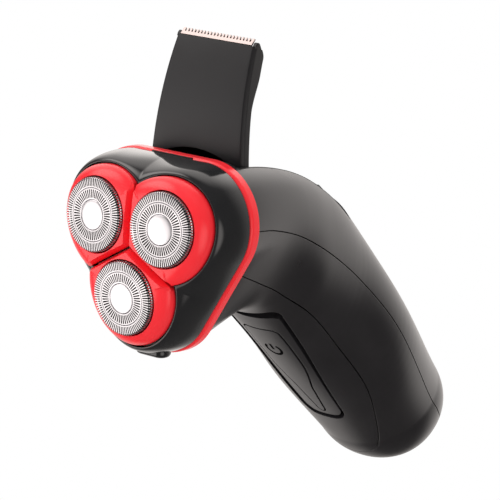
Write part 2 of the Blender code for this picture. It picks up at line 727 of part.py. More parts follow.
socket_profile = [(0, -SOCKET_LENGTH), (SOCKET_RADIUS, -SOCKET_LENGTH), (SOCKET_RADIUS, 0), (0, 0)]
socket = add_piece("charging_socket", placed(turned(socket_profile, 28), end_plane), "matte_black")
slot_half, slot_low, slot_high, slot_depth = SOCKET_SLOT
slot = [(-slot_half, slot_low), (slot_half, slot_low), (slot_half, slot_high), (-slot_half, slot_high)]
slot_side = 1 if (end_plane.to_3x3() @ Vector((0, 1, 0))).z > 0 else -1
slot_tool = placed(plate([(x, y * slot_side) for x, y in slot], -slot_depth, 4), end_plane)
boolean(socket, slot_tool, "DIFFERENCE", "slot")
smooth(socket)

# ---------------------------------------------------------------- gearbox and motor
gearbox_front = COVER_FRONT - COVER_THICKNESS - 0.2
gearbox_step = GEARBOX_BACK + 4.1


def gearbox_rows(turn):
    wide = corner_radius(turn, CAP_LOBE, GEARBOX_CORNER)
    narrow = corner_radius(turn, CAP_LOBE, GEARBOX_CORNER - GEARBOX_TAPER)
    floor = GEARBOX_BACK + GEARBOX_FLOOR
    return [(2.2, GEARBOX_BACK), (2.2, floor), (narrow - GEARBOX_WALL, floor),
            (wide - GEARBOX_WALL, gearbox_step), (wide - GEARBOX_WALL, gearbox_front),
            (wide, gearbox_front), (wide, gearbox_step), (narrow, GEARBOX_BACK)]


gearbox_base = add_piece("gearbox_base", ring_body(gearbox_rows, BASE_STEPS), "frame_grey")
screw_spots = [(SCREW_RADIUS * sin(radians(a)), SCREW_RADIUS * cos(radians(a))) for a in (0, 120, 240)]
for x, y in screw_spots:
    post = Matrix.Translation((x, y, GEARBOX_BACK + 1))
    boolean(gearbox_base, placed(rod(2.2, gearbox_front - GEARBOX_BACK - 1, 14), post), "UNION", "post")
    boolean(gearbox_base, placed(rod(1.1, 12, 12), Matrix.Translation((x, y, gearbox_front - 6))),
            "DIFFERENCE", "screw_hole")
smooth(gearbox_base)

unit_centres = {side: (UNIT_RADIUS * cos(radians(a)), UNIT_RADIUS * sin(radians(a)))
                for side, a in UNIT_ANGLES.items()}
cover_outline = [polar(2 * pi * k / 42, corner_radius(2 * pi * k / 42, CAP_LOBE, GEARBOX_CORNER), 0)[:2]
                 for k in range(42)]
cover_holes = [circle(2.4, 14, c) for c in unit_centres.values()]
cover_holes += [circle(1.2, 12, c) for c in screw_spots]
gear_cover = add_piece("gear_cover", plate(cover_outline, COVER_FRONT - COVER_THICKNESS, COVER_FRONT,
                                           cover_holes), "dark_plastic")
smooth(gear_cover)
for number, (x, y) in enumerate(screw_spots):
    head = COVER_FRONT + 0.15
    profile = [(0, head - 6), (0.85, head - 6), (0.85, head), (1.9, head), (1.9, head + 1), (0, head + 1)]
    smooth(add_piece("cover_screw_" + ("top", "right", "left")[number],
                     placed(turned(profile, 14), Matrix.Translation((x, y, 0))), "tool_steel"))

gear_back = GEAR_FRONT - GEAR_THICKNESS
for side, angle in UNIT_ANGLES.items():
    x, y = unit_centres[side]
    outline, bores = gear_outline(GEAR_TEETH, SHAFT_RADIUS + 0.25)
    half_tooth = pi / GEAR_TEETH
    turned_gear = Matrix.Translation((x, y, 0)) @ Matrix.Rotation(radians(angle) + pi + half_tooth, 4, "Z")
    add_piece("drive_gear_" + side, placed(plate(outline, gear_back, GEAR_FRONT, bores), turned_gear),
              "gear_nylon", origin=(x, y, 0))
    shaft_low = GEARBOX_BACK + GEARBOX_FLOOR + 0.25
    shaft = [(0, shaft_low), (SHAFT_RADIUS, shaft_low), (SHAFT_RADIUS, SHAFT_TOP - 2.5),
             (1.3, SHAFT_TOP - 2.2), (1.3, SHAFT_TOP), (0, SHAFT_TOP)]
    smooth(add_piece("drive_spindle_" + side, placed(turned(shaft, 14), Matrix.Translation((x, y, 0))),
                     "tool_steel", origin=(x, y, 0)))

outline, bores = gear_outline(PINION_TEETH, 1.15)
add_piece("motor_pinion", plate(outline, gear_back - 0.3, GEAR_FRONT + 0.3, bores), "brass")
motor_top = GEARBOX_BACK - GAP
smooth(add_piece("motor_shaft", placed(rod(0.95, 10.8 + MOTOR_LENGTH * 0.1, 14),
                                       Matrix.Translation((0, 0, motor_top - 1.7))), "tool_steel"))
motor_low = motor_top - MOTOR_LENGTH
motor = [(0, motor_low), (MOTOR_RADIUS - 1, motor_low), (MOTOR_RADIUS, motor_low + 1),
         (MOTOR_RADIUS, motor_top),
         (1.2, motor_top), (1.2, motor_top - 2), (0, motor_top - 2)]
smooth(add_piece("motor_can", turned(motor, 32), "motor_steel"))

# ---------------------------------------------------------------- ring, cap and hinge
def ring_rows(turn):
    outer = corner_radius(turn, CAP_LOBE, RING_CORNER)
    inner = outer - RING_WIDTH
    back = RING_FRONT - RING_DEPTH
    return [(inner, back), (inner, RING_FRONT - 0.2), (inner + 0.2, RING_FRONT), (outer - 0.8, RING_FRONT),
            (outer - 0.2, RING_FRONT - 0.3), (outer, RING_FRONT - 0.9), (outer, back)]


collar_ring = add_piece("collar_ring", ring_body(ring_rows, 42), "red_trim")
boolean(collar_ring, box(HINGE_SLOT_HALF, 20, 30, HINGE_BACK - HINGE_SLOT_DEPTH, -10), "DIFFERENCE",
        "hinge_slot")
smooth(collar_ring)


def cap_curve(turn, inset, steps):
    """Skin of the cap from the petals out to the ring at one angle."""
    notch = (abs(turn % (2 * pi / 3) - pi / 3) / (pi / 3)) ** 2
    start = petal_outline(turn, 0.0) + GAP
    end = corner_radius(turn, CAP_LOBE, CAP_CORNER) - inset
    rim = CAP_RIM + 2.4 * notch - inset
    power = 2 / (2.1 - 0.1 * notch)
    curve = []
    for k in range(steps + 1):
        bend = pi / 2 * k / steps
        curve.append((start + (end - start) * max(sin(bend), 0) ** power,
                      rim - (rim - CAP_BACK) * (1 - max(cos(bend), 0) ** power)))
    return curve


def cap_rows(turn):
    outer = cap_curve(turn, 0, 6)
    inner = cap_curve(turn, CAP_WALL, 4)
    return outer + inner[::-1]


hinge_origin = (0, HINGE_HEIGHT, HINGE_BACK)
head_cap = add_piece("head_cap", ring_body(cap_rows, 48), "gloss_black", origin=hinge_origin)
boolean(head_cap, box(HINGE_SLOT_HALF, 20, 30, -30, HINGE_BACK + HINGE_SLOT_DEPTH), "DIFFERENCE",
        "hinge_slot")
boolean(head_cap, box(RELEASE_HALF_WIDTH + GAP, -40, -28, -30, RELEASE_FRONT + GAP), "DIFFERENCE",
        "tab_slot")
smooth(head_cap)
sideways = Matrix.Rotation(pi / 2, 4, "Y")
pin_place = Matrix.Translation((-HINGE_HALF_LENGTH - 0.1, HINGE_HEIGHT, HINGE_BACK)) @ sideways
hinge_pin = rod(HINGE_PIN_RADIUS, 2 * HINGE_HALF_LENGTH + 0.2, 14)
smooth(add_piece("head_hinge_pin", placed(hinge_pin, pin_place), "tool_steel"))
tab_low = -CAP_LOBE - CAP_CORNER - 1.0
add_piece("head_release_button", box(RELEASE_HALF_WIDTH, tab_low, tab_low + 2.2, CAP_BACK, RELEASE_FRONT),
          "gloss_black", origin=(0, tab_low + 1.1, (CAP_BACK + RELEASE_FRONT) / 2))

# ---------------------------------------------------------------- cutter frame and units
frame_outline = [polar(2 * pi * k / 48, petal_outline(2 * pi * k / 48, 0.0), 0)[:2] for k in range(48)]
cutter_frame = add_piece("cutter_frame", plate(frame_outline, FRAME_FRONT - FRAME_THICKNESS, FRAME_FRONT,
                                               [circle(7.2, 18, c) for c in unit_centres.values()]),
                         "dark_plastic", origin=hinge_origin)
smooth(cutter_frame)


def spoke_outline(half, length):
    outline = []
    for angle in (90, 210, 330):
        along = (cos(radians(angle)), sin(radians(angle)))
        side = (-along[1], along[0])
        crook = radians(angle - 60)
        outline.append((half / sin(pi / 3) * cos(crook), half / sin(pi / 3) * sin(crook)))
        for s in (-half, half):
            outline.append((along[0] * length + side[0] * s, along[1] * length + side[1] * s))
    return outline


spoke_length = petal_outline(0.0) - 0.6
spacer_rows = [[(x, y, FRAME_FRONT + 0.2) for x, y in spoke_outline(0.4, spoke_length)],
               [(x, y, -2.3) for x, y in spoke_outline(0.62, spoke_length)]]
add_piece("petal_spacer", stitch(spacer_rows), "dark_plastic", origin=hinge_origin)


def unit_matrix(angle):
    outward = Vector((cos(radians(angle)), sin(radians(angle)), 0))
    up = (Vector((0, 0, 1)) * cos(radians(UNIT_TILT)) + outward * sin(radians(UNIT_TILT))).normalized()
    ahead = (outward - up * outward.dot(up)).normalized()
    across = ahead.cross(up)
    centre = outward * UNIT_RADIUS
    return Matrix(((across.x, ahead.x, up.x, centre.x), (across.y, ahead.y, up.y, centre.y),
                   (across.z, ahead.z, up.z, centre.z), (0, 0, 0, 1)))


def petal_solid(curved, flat, rings):
    """One petal around its cutter; turn 0 points away from the head's middle."""
    line = UNIT_RADIUS * sin(pi / 3) - GROOVE_HALF
    corner = radians(150) - acos(line / PETAL_RADIUS)
    turns = list(np.linspace(0, corner, curved)) + list(np.linspace(corner, pi, flat))[1:]
    turns = turns + [-t for t in turns[1:-1]][::-1]
    hole = CUTTER_RADIUS + GAP
    shoulder = hole + 0.5
    rows = []
    for turn in turns:
        reach = PETAL_RADIUS
        for side in (radians(150), radians(-150)):
            if cos(turn - side) > 0.2:
                reach = min(reach, line / cos(turn - side))
        loop = [(hole, -PETAL_SKIRT), (hole, PETAL_TOP - 0.25)]
        for k in range(rings + 1):
            radius = hole + 0.15 + (reach - hole - 0.15) * (k / rings) ** 0.8
            slope = min(max((radius - shoulder) / (PETAL_RADIUS - shoulder), 0), 1)
            loop.append((radius, PETAL_TOP - PETAL_DROP * (1 - sqrt(1 - slope ** 2))))
        loop.append((reach, -PETAL_SKIRT))
        rows.append([(r * sin(turn), r * cos(turn), z) for r, z in loop])
    return stitch(rows, closed_rows=True)


cutter_low = -CUTTER_SKIRT
cutter_inner = CUTTER_RADIUS - CUTTER_WALL
cutter_under = CUTTER_TOP - CUTTER_WALL
cutter_profile = [(cutter_inner, cutter_low), (CUTTER_RADIUS, cutter_low),
                  (CUTTER_RADIUS, CUTTER_TOP - 0.7),
                  (CUTTER_RADIUS - 0.5, CUTTER_TOP), (BADGE_RADIUS + GAP, CUTTER_TOP),
                  (BADGE_RADIUS + GAP, CUTTER_TOP - 0.35),
                  (2.4, CUTTER_TOP - 0.35), (2.4, cutter_under), (cutter_inner, cutter_under)]
blade_high = cutter_under - 0.25
inner_profile = [(0, -1.9), (2.7, -1.9), (2.7, -4.2), (3.8, -4.2), (3.8, -2.0), (9.4, -2.0),
                 (9.4, blade_high), (5.2, blade_high), (5.2, -1.0), (0, -1.0)]
badge_profile = [(0, CUTTER_TOP - 0.15), (BADGE_RADIUS, CUTTER_TOP - 0.15),
                 (BADGE_RADIUS, CUTTER_TOP + 0.1),
                 (BADGE_RADIUS - 0.3, CUTTER_TOP + 0.25), (0, CUTTER_TOP + 0.35)]
for side, angle in UNIT_ANGLES.items():
    stand = unit_matrix(angle)
    spot = tuple(stand.translation)
    smooth(add_piece("petal_" + side, placed(petal_solid(11, 6, 4), stand), "red_trim", origin=spot))
    smooth(add_piece("outer_cutter_" + side, placed(turned(cutter_profile, 30), stand), "foil_steel",
                     origin=spot))
    smooth(add_piece("cutter_badge_" + side, placed(turned(badge_profile, 24), stand), "badge_aluminium",
                     origin=spot))
    smooth(add_piece("inner_cutter_" + side, placed(turned(inner_profile, 20), stand), "tool_steel",
                     origin=spot))

# ---------------------------------------------------------------- pop-up trimmer
trimmer_origin = (0, *PIVOT)


def trimmer_line(share):
    """Point, outward normal and tangent on the trimmer's front face."""
    a, b, c = (np.array(p) for p in (TRIMMER_ROOT, TRIMMER_BEND, TRIMMER_TIP))
    spot = (1 - share) ** 2 * a + 2 * share * (1 - share) * b + share ** 2 * c
    ahead = (1 - share) * (b - a) + share * (c - b)
    ahead /= np.linalg.norm(ahead)
    return spot, np.array([-ahead[1], ahead[0]]), ahead


def trimmer_point(x, depth, share):
    spot, normal, ahead = trimmer_line(share)
    return (x, *(spot - normal * depth))


def trimmer_half(share):
    return TRIMMER_ROOT_HALF + (TRIMMER_TIP_HALF - TRIMMER_ROOT_HALF) * share


def trimmer_thickness(share):
    swell = min(max((share - 0.45) / 0.35, 0), 1)
    return TRIMMER_THIN + (TRIMMER_THICK - TRIMMER_THIN) * swell * swell * (3 - 2 * swell)


def housing_solid(stations):
    rows = []
    for k in range(stations + 1):
        base = k / stations
        half = trimmer_half(base)
        thick = trimmer_thickness(base)
        inner = half - TRIMMER_WALL
        outline = [(-half, thick), (-half, 0.9), (-half + 0.9, 0.1), (-half * 0.5, -0.2), (0, -0.35),
                   (half * 0.5, -0.2), (half - 0.9, 0.1), (half, 0.9), (half, thick),
                   (inner, thick), (inner, TRIMMER_SKIN), (0, TRIMMER_SKIN - 0.2), (-inner, TRIMMER_SKIN),
                   (-inner, thick)]
        row = []
        for x, depth in outline:
            arch = TRIMMER_ARCH * max(1 - (x / inner) ** 2, 0) if depth < TRIMMER_SKIN + 0.1 else 0
            share = arch + base * (1 - arch)
            row.append(trimmer_point(x, depth, share))
        rows.append(row)
    return stitch(rows)


def guard_solid(hand):
    """Ear beside the blade, a little inside the housing's side wall."""
    outer = hand * (TRIMMER_TIP_HALF - 0.06)
    inner = hand * (TRIMMER_TIP_HALF - TRIMMER_WALL + 0.06)
    ahead = trimmer_line(1.0)[2]
    rows = []
    for x in (inner, outer):
        rows.append([(x, *(np.array(trimmer_point(x, depth, 1.0)[1:]) + ahead * rise))
                     for depth, rise in GUARD_OUTLINE])
    return stitch(rows)


trimmer_housing = add_piece("trimmer_housing", housing_solid(9), "matte_black", origin=trimmer_origin)
for hand in (-1, 1):
    boolean(trimmer_housing, guard_solid(hand), "UNION", "guard")
smooth(trimmer_housing)


def trimmer_strip(half_at, near, far, start, end, stations):
    rows = []
    for share in np.linspace(start, end, stations + 1):
        half = half_at(share)
        rows.append([trimmer_point(x, depth, share) for x, depth in
                     ((-half, near(share)), (half, near(share)), (half, far(share)), (-half, far(share)))])
    return stitch(rows)


back_plate = trimmer_strip(lambda s: trimmer_half(s) - TRIMMER_WALL - 0.25,
                           lambda s: trimmer_thickness(s) - 0.9, trimmer_thickness, 0.02, 0.98, 9)
add_piece("trimmer_back", back_plate, "matte_black", origin=trimmer_origin)
add_piece("trimmer_drive_arm", trimmer_strip(lambda s: 2.0, lambda s: 1.2, lambda s: 2.1, 0.16, 0.97, 7),
          "gear_nylon", origin=trimmer_origin)

blade_up = np.array([cos(radians(BLADE_SLANT)), -sin(radians(BLADE_SLANT))])
blade_out = np.array([sin(radians(BLADE_SLANT)), cos(radians(BLADE_SLANT))])


def comb_outline(half, start, end, teeth, tooth_height):
    outline = [(half, start), (half, end)]
    pitch = 2 * half / teeth
    for k in range(teeth - 1):
        gap_at = half - (k + 1) * pitch
        outline += [(gap_at + pitch * 0.22, end), (gap_at + pitch * 0.12, end - tooth_height),
                    (gap_at - pitch * 0.12, end - tooth_height), (gap_at - pitch * 0.22, end)]
    return outline + [(-half, end), (-half, start)]


tip_spot_front = trimmer_line(1.0)[0]


def blade_matrix(lift):
    spot = tip_spot_front + blade_out * lift
    return Matrix(((1, 0, 0, 0), (0, blade_up[0], blade_out[0], spot[0]),
                   (0, blade_up[1], blade_out[1], spot[1]), (0, 0, 0, 1)))


fixed = plate(comb_outline(BLADE_HALF, 0.25, BLADE_HEIGHT, BLADE_TEETH, 1.0), -BLADE_THICKNESS, 0)
moving = plate(comb_outline(BLADE_HALF - 1.0, 0.65, BLADE_HEIGHT - 0.2, BLADE_TEETH, 0.8),
               -BLADE_THICKNESS, 0)
add_piece("trimmer_fixed_blade", placed(fixed, blade_matrix(0.0)), "foil_steel", origin=trimmer_origin)
add_piece("trimmer_moving_blade", placed(moving, blade_matrix(-BLADE_THICKNESS - 0.15)), "tool_steel",
          origin=trimmer_origin)
pin_half = TRIMMER_ROOT_HALF + POCKET_SIDE_GAP - 0.6
pivot_place = Matrix.Translation((-pin_half, *PIVOT)) @ sideways
smooth(add_piece("trimmer_hinge_pin", placed(rod(PIVOT_PIN_RADIUS, 2 * pin_half, 16), pivot_place),
                 "tool_steel"))
smooth(add_piece("trimmer_barrel", placed(tube(PIVOT_BARREL_RADIUS, PIVOT_PIN_RADIUS + 0.15, 30, 20),
                                          Matrix.Translation((-15, *PIVOT)) @ sideways), "matte_black",
                 origin=trimmer_origin))
switch = pocket_block(*SWITCH_SHARES, *SWITCH_HALVES, SWITCH_RISE,
                      POCKET_DEPTH - POCKET_FLOOR - SWITCH_SEAT, 4)
add_piece("trimmer_switch", switch, "gloss_black")
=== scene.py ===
from math import acos, atan2, cos, pi, radians, sin, sqrt

import bpy
import bmesh
import numpy as np
from mathutils import Matrix, Vector
from mathutils.bvhtree import BVHTree
from mathutils.geometry import tessellate_polygon


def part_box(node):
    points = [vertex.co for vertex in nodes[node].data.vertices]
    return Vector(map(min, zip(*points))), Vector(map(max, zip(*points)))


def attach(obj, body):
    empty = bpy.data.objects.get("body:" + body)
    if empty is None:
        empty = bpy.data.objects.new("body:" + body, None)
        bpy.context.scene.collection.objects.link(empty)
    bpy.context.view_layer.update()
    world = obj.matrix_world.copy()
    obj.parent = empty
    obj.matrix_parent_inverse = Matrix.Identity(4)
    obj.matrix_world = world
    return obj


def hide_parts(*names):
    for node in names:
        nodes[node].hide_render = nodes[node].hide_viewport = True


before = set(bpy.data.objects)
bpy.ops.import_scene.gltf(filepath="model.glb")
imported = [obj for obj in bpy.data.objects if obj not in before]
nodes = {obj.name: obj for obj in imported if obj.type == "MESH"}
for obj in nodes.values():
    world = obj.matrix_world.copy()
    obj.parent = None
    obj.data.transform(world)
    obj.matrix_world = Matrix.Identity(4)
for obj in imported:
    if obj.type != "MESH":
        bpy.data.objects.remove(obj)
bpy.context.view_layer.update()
mm = 0.001
gap = 0.3               # clearance between neighbouring pieces, mm
sides = {"left": 150, "right": 30, "bottom": 270}    # where each shaving unit sits, degrees
print("frame loaded:", len(nodes), "nodes")

# The head's own axes: x across, y up the shaving face, z out of it.  The motor's
# shaft lies on that z axis, so its box gives the place of the axes.
gripSlant = radians(43)
shaftMiddle = -19.9     # middle of the motor's shaft, measured out of the face, mm
shaftLow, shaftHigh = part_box("motor_shaft")
headTurn = Matrix.Rotation(gripSlant, 4, "X")
headPlace = (shaftLow + shaftHigh) / 2 - headTurn @ Vector((0, 0, shaftMiddle * mm))
headAxes = Matrix.Translation(headPlace) @ headTurn


def inMetres(matrix):
    scaled = matrix.copy()
    scaled.translation = matrix.translation * mm
    return scaled


def meshFrom(name, solid):
    points, faces = solid
    mesh = bpy.data.meshes.new(name)
    mesh.from_pydata([tuple(mm * c for c in p) for p in points], [], faces)
    work = bmesh.new()
    work.from_mesh(mesh)
    bmesh.ops.recalc_face_normals(work, faces=work.faces)
    work.to_mesh(mesh)
    work.free()
    return mesh


# A piece with its own stand keeps its middle there, so that turning marks run round it
def newPiece(name, solid, stand=None):
    piece = bpy.data.objects.new(name, meshFrom(name, solid))
    place = headAxes @ inMetres(stand or Matrix.Identity(4))
    middle = place.translation.copy() if stand else Vector()
    piece.data.transform(Matrix.Translation(-middle) @ place)
    piece.location = middle
    bpy.context.scene.collection.objects.link(piece)
    return piece


def finishPiece(piece, body, finishName, standsFor=(), crease=32):
    piece.data.materials.clear()
    piece.data.materials.append(finishes[finishName])
    piece.data.shade_smooth()
    piece.data.set_sharp_from_angle(angle=radians(crease))
    even = piece.modifiers.new("even_shading", "WEIGHTED_NORMAL")
    even.keep_sharp = True
    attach(piece, body)
    if standsFor:
        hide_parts(*standsFor)
    return piece


def roundEdges(piece, width, angle=40, segments=2):
    bevel = piece.modifiers.new("rounded_edges", "BEVEL")
    bevel.width = width * mm
    bevel.segments = segments
    bevel.limit_method = "ANGLE"
    bevel.angle_limit = radians(angle)
    bevel.use_clamp_overlap = True
    bevel.miter_outer = "MITER_ARC"
    return piece


def shape(piece, solid, operation, solver="MANIFOLD"):
    tool = newPiece(piece.name + "_tool", solid)
    bpy.context.view_layer.update()
    step = piece.modifiers.new("cut", "BOOLEAN")
    step.operation = operation
    step.solver = solver
    step.object = tool
    graph = bpy.context.evaluated_depsgraph_get()
    made = bpy.data.meshes.new_from_object(piece.evaluated_get(graph))
    piece.modifiers.clear()
    piece.data = made
    bpy.data.objects.remove(tool, do_unlink=True)
    return piece


def stitch(rows, hoop=False):
    count = len(rows[0])
    points = [p for row in rows for p in row]
    faces = []
    for i in range(len(rows) if hoop else len(rows) - 1):
        here, there = i * count, ((i + 1) % len(rows)) * count
        for j in range(count):
            k = (j + 1) % count
            faces.append((here + j, here + k, there + k, there + j))
    if not hoop:
        faces.append(tuple(range(count))[::-1])
        faces.append(tuple((len(rows) - 1) * count + j for j in range(count)))
    return points, faces


def spun(profile, segments):
    rings = [[(r * cos(2 * pi * k / segments), r * sin(2 * pi * k / segments), z)
              for r, z in profile] for k in range(segments)]
    return stitch(rings, hoop=True)


def plate(outline, low, high, holes=()):
    loops = [list(outline)] + [list(hole) for hole in holes]
    flat = [p for loop in loops for p in loop]
    triangles = tessellate_polygon([[Vector((*p[:2], 0)) for p in loop] for loop in loops])
    total = len(flat)
    points = [(*p[:2], low) for p in flat] + [(*p[:2], high) for p in flat]
    faces = [tuple(t) for t in triangles] + [tuple(i + total for i in t)[::-1] for t in triangles]
    start = 0
    for loop in loops:
        for j in range(len(loop)):
            k = (j + 1) % len(loop)
            faces.append((start + j, start + k, start + k + total, start + j + total))
        start += len(loop)
    return points, faces


def moved(solid, matrix):
    return [tuple(matrix @ Vector(p)) for p in solid[0]], solid[1]


def block(half, low, high, back, front):
    corners = ((-half, low), (half, low), (half, high), (-half, high))
    return stitch([[(x, y, z) for x, y in corners] for z in (back, front)])


def linear(hexColour):
    channels = [int(hexColour[k:k + 2], 16) / 255 for k in (1, 3, 5)]
    return tuple(c / 12.92 if c <= 0.04045 else ((c + 0.055) / 1.055) ** 2.4 for c in channels) + (1.0,)


def addNode(tree, kind, settings=None, links=None):
    node = tree.nodes.new(kind)
    for name, value in (settings or {}).items():
        if isinstance(name, int) or name in node.inputs:
            node.inputs[name].default_value = value
        else:
            setattr(node, name, value)
    for name, source in (links or {}).items():
        tree.links.new(source, node.inputs[name])
    return node


def makeFinish(name, look):
    material = bpy.data.materials.new(name)
    material.use_nodes = True
    tree = material.node_tree
    shader = tree.nodes["Principled BSDF"]
    shader.inputs["Metallic"].default_value = look.get("metal", 0)
    if "metal" not in look:
        shader.inputs["IOR"].default_value = look["ior"]
    shader.inputs["Coat Weight"].default_value = look.get("coat", 0)
    shader.inputs["Coat Roughness"].default_value = 0.05
    place = addNode(tree, "ShaderNodeTexCoord").outputs["Object"]
    cloud = addNode(tree, "ShaderNodeTexNoise", {"Scale": 1 / (look.get("cloud", 14) * mm), "Detail": 3},
                    {"Vector": place}).outputs["Fac"]
    grain = addNode(tree, "ShaderNodeTexNoise", {"Scale": 1 / (look["grain"] * mm), "Detail": 4},
                    {"Vector": place}).outputs["Fac"]
    tone = addNode(tree, "ShaderNodeMapRange", {1: 0.3, 2: 0.7}, {0: cloud}).outputs[0]
    colour = addNode(tree, "ShaderNodeMix", {"data_type": "RGBA", 6: linear(look["colours"][0]),
                                             7: linear(look["colours"][1])}, {0: tone}).outputs[2]
    relief = grain
    if "rings" in look:     # marks of turning or brushing that run round the piece's own axis
        level = addNode(tree, "ShaderNodeMapping", {"Rotation": (-gripSlant, 0, 0)},
                        {"Vector": place}).outputs[0]
        relief = addNode(tree, "ShaderNodeTexWave",
                         {"wave_type": "RINGS", "rings_direction": "Z", "Scale": 0.05 / (look["rings"] * mm),
                          "Distortion": 1.5, "Detail": 3, "Detail Scale": 4},
                         {"Vector": level}).outputs["Fac"]
        shade = addNode(tree, "ShaderNodeMapRange", {3: 0, 4: look.get("ringShade", 0.35)},
                        {0: relief}).outputs[0]
        colour = addNode(tree, "ShaderNodeMix", {"data_type": "RGBA", 7: linear(look["colours"][1])},
                         {0: shade, 6: colour}).outputs[2]
    if "fibres" in look:    # long streaks left by grinding or moulding flow, along the given axis
        stretch = addNode(tree, "ShaderNodeMapping", {"Scale": look["fibres"]}, {"Vector": place}).outputs[0]
        relief = addNode(tree, "ShaderNodeTexNoise", {"Scale": 1 / (look["grain"] * mm), "Detail": 4},
                         {"Vector": stretch}).outputs["Fac"]
    rough = look["rough"]
    gloss = addNode(tree, "ShaderNodeMapRange", {1: 0.25, 2: 0.75, 3: rough[0], 4: rough[1]},
                    {0: cloud}).outputs[0]
    edges = addNode(tree, "ShaderNodeBevel", {"samples": 4, "Radius": look.get("edge", 0.2) * mm}).outputs[0]
    bump = addNode(tree, "ShaderNodeBump", {"Strength": look.get("bump", 0.2),
                                            "Distance": look.get("depth", 0.02) * mm},
                   {"Height": relief, "Normal": edges}).outputs[0]
    tree.links.new(colour, shader.inputs["Base Color"])
    tree.links.new(gloss, shader.inputs["Roughness"])
    tree.links.new(bump, shader.inputs["Normal"])
    return material


# Sizes are in mm.  Grain finer than about 0.2 mm would not show, so it is drawn that coarse.
looks = {
    # moulded ABS, spark-eroded tool: black with a soft satin sheen
    "satinBlackAbs": {"colours": ("#1d1c1f", "#222124"), "rough": (0.27, 0.33), "ior": 1.53, "grain": 0.25,
                      "bump": 0.12, "depth": 0.012},
    # moulded ABS, polished tool: deep black that mirrors the room
    "polishedBlackAbs": {"colours": ("#1c1d1f", "#222325"), "rough": (0.1, 0.14), "ior": 1.53, "grain": 5.0,
                         "bump": 0.08, "depth": 0.05, "coat": 0.3},
    # moulded ABS, etched tool: flat black with a fine even texture
    "etchedBlackAbs": {"colours": ("#141417", "#19191c"), "rough": (0.42, 0.5), "ior": 1.53, "grain": 0.22,
                       "bump": 0.3, "depth": 0.02},
    # moulded ABS coloured in the mass: bright red, glossy
    "redAbs": {"colours": ("#fb2631", "#ff2f3a"), "rough": (0.2, 0.26), "ior": 1.53, "grain": 3.0,
               "bump": 0.06, "depth": 0.03},
    # the same red ABS, painted darker as shade for the bars sitting deep between the petals
    "redAbsPaintedShade": {"colours": ("#c31423", "#cf1a29"), "rough": (0.3, 0.38), "ior": 1.53, "grain": 1.5,
                   "bump": 0.08, "depth": 0.02},
    # glass-filled polyamide: dark brown-black, dull
    "darkNylon": {"colours": ("#30221f", "#3a2a26"), "rough": (0.45, 0.6), "ior": 1.53, "grain": 0.3,
                  "bump": 0.3, "depth": 0.02},
    # stamped and turned stainless steel: silver with fine rings
    "turnedSteel": {"colours": ("#e4e2e5", "#c8c6c9"), "rough": (0.24, 0.32), "metal": 1, "grain": 0.3,
                    "rings": 0.35, "bump": 0.15, "depth": 0.01, "edge": 0.05},
    # spun aluminium, clear anodised: near-white and silky
    "anodisedDisc": {"colours": ("#f6f4f8", "#eeecf0"), "rough": (0.32, 0.38), "metal": 1, "grain": 0.3,
                     "rings": 0.22, "ringShade": 0.3, "bump": 0.08, "depth": 0.008, "edge": 0.08},
    # hardened tool steel, painted dark as shade: these pieces lie under the foils, behind the comb plate and
    # in the hinge slot
    "steelPaintedShade": {"colours": ("#2c2928", "#232120"), "rough": (0.3, 0.42), "metal": 1, "grain": 0.2,
                  "bump": 0.15, "depth": 0.01, "edge": 0.05},
    # ground stainless strip: pale with grinding streaks across the teeth
    "groundSteel": {"colours": ("#b3a5a2", "#beb1ae"), "rough": (0.3, 0.4), "metal": 1, "grain": 0.25,
                    "fibres": (0.15, 1, 1), "bump": 0.2, "depth": 0.01, "edge": 0.04},
    # drawn steel wire and screws
    "drawnSteel": {"colours": ("#b4b4b8", "#9c9ca0"), "rough": (0.25, 0.35), "metal": 1, "grain": 0.25,
                   "fibres": (1, 1, 0.15), "bump": 0.15, "depth": 0.01, "edge": 0.08},
    # acetal gears: warm white, slightly waxy
    "whiteAcetal": {"colours": ("#e6e2d6", "#dcd7c9"), "rough": (0.35, 0.45), "ior": 1.48, "grain": 0.4,
                    "bump": 0.15, "depth": 0.02},
    # zinc-plated motor can
    "platedSteel": {"colours": ("#a9acb0", "#8f9297"), "rough": (0.28, 0.42), "metal": 1, "grain": 0.3,
                    "fibres": (1, 1, 0.1), "bump": 0.15, "depth": 0.01},
    # turned brass
    "turnedBrass": {"colours": ("#c9a35a", "#b48d45"), "rough": (0.25, 0.35), "metal": 1, "grain": 0.3,
                    "rings": 0.3, "bump": 0.15, "depth": 0.01},
    # heat-shrunk PVC sleeve round the cell
    "cellSleeve": {"colours": ("#1d5c44", "#246a50"), "rough": (0.25, 0.4), "ior": 1.54, "grain": 1.2,
                   "bump": 0.25, "depth": 0.05},
    # solder-masked glass-epoxy board
    "circuitEpoxy": {"colours": ("#14542b", "#1a6334"), "rough": (0.3, 0.45), "ior": 1.55, "grain": 0.5,
                     "bump": 0.2, "depth": 0.02},
    # glass-filled nylon frame
    "greyNylon": {"colours": ("#6a6a6e", "#5c5c60"), "rough": (0.45, 0.6), "ior": 1.53, "grain": 0.3,
                  "bump": 0.3, "depth": 0.02},
    # painted shade: flat black with almost no gloss, standing for the shade inside an engraved mark
    "engravedMarkShade": {"colours": ("#050506", "#070708"), "rough": (0.6, 0.7), "ior": 1.05, "grain": 0.3,
                 "bump": 0.1, "depth": 0.01, "edge": 0.03},
}
finishes = {name: makeFinish(name, look) for name, look in looks.items()}
print("finishes made:", len(finishes))

unit = {"radius": 14.7, "tilt": 4}


def unitStand(angle):
    outward = Vector((cos(radians(angle)), sin(radians(angle)), 0))
    up = (Vector((0, 0, cos(radians(unit["tilt"])))) + outward * sin(radians(unit["tilt"]))).normalized()
    ahead = (outward - up * outward.dot(up)).normalized()
    across = ahead.cross(up)
    stand = Matrix((across, ahead, up)).transposed().to_4x4()
    stand.translation = outward * unit["radius"]
    return stand


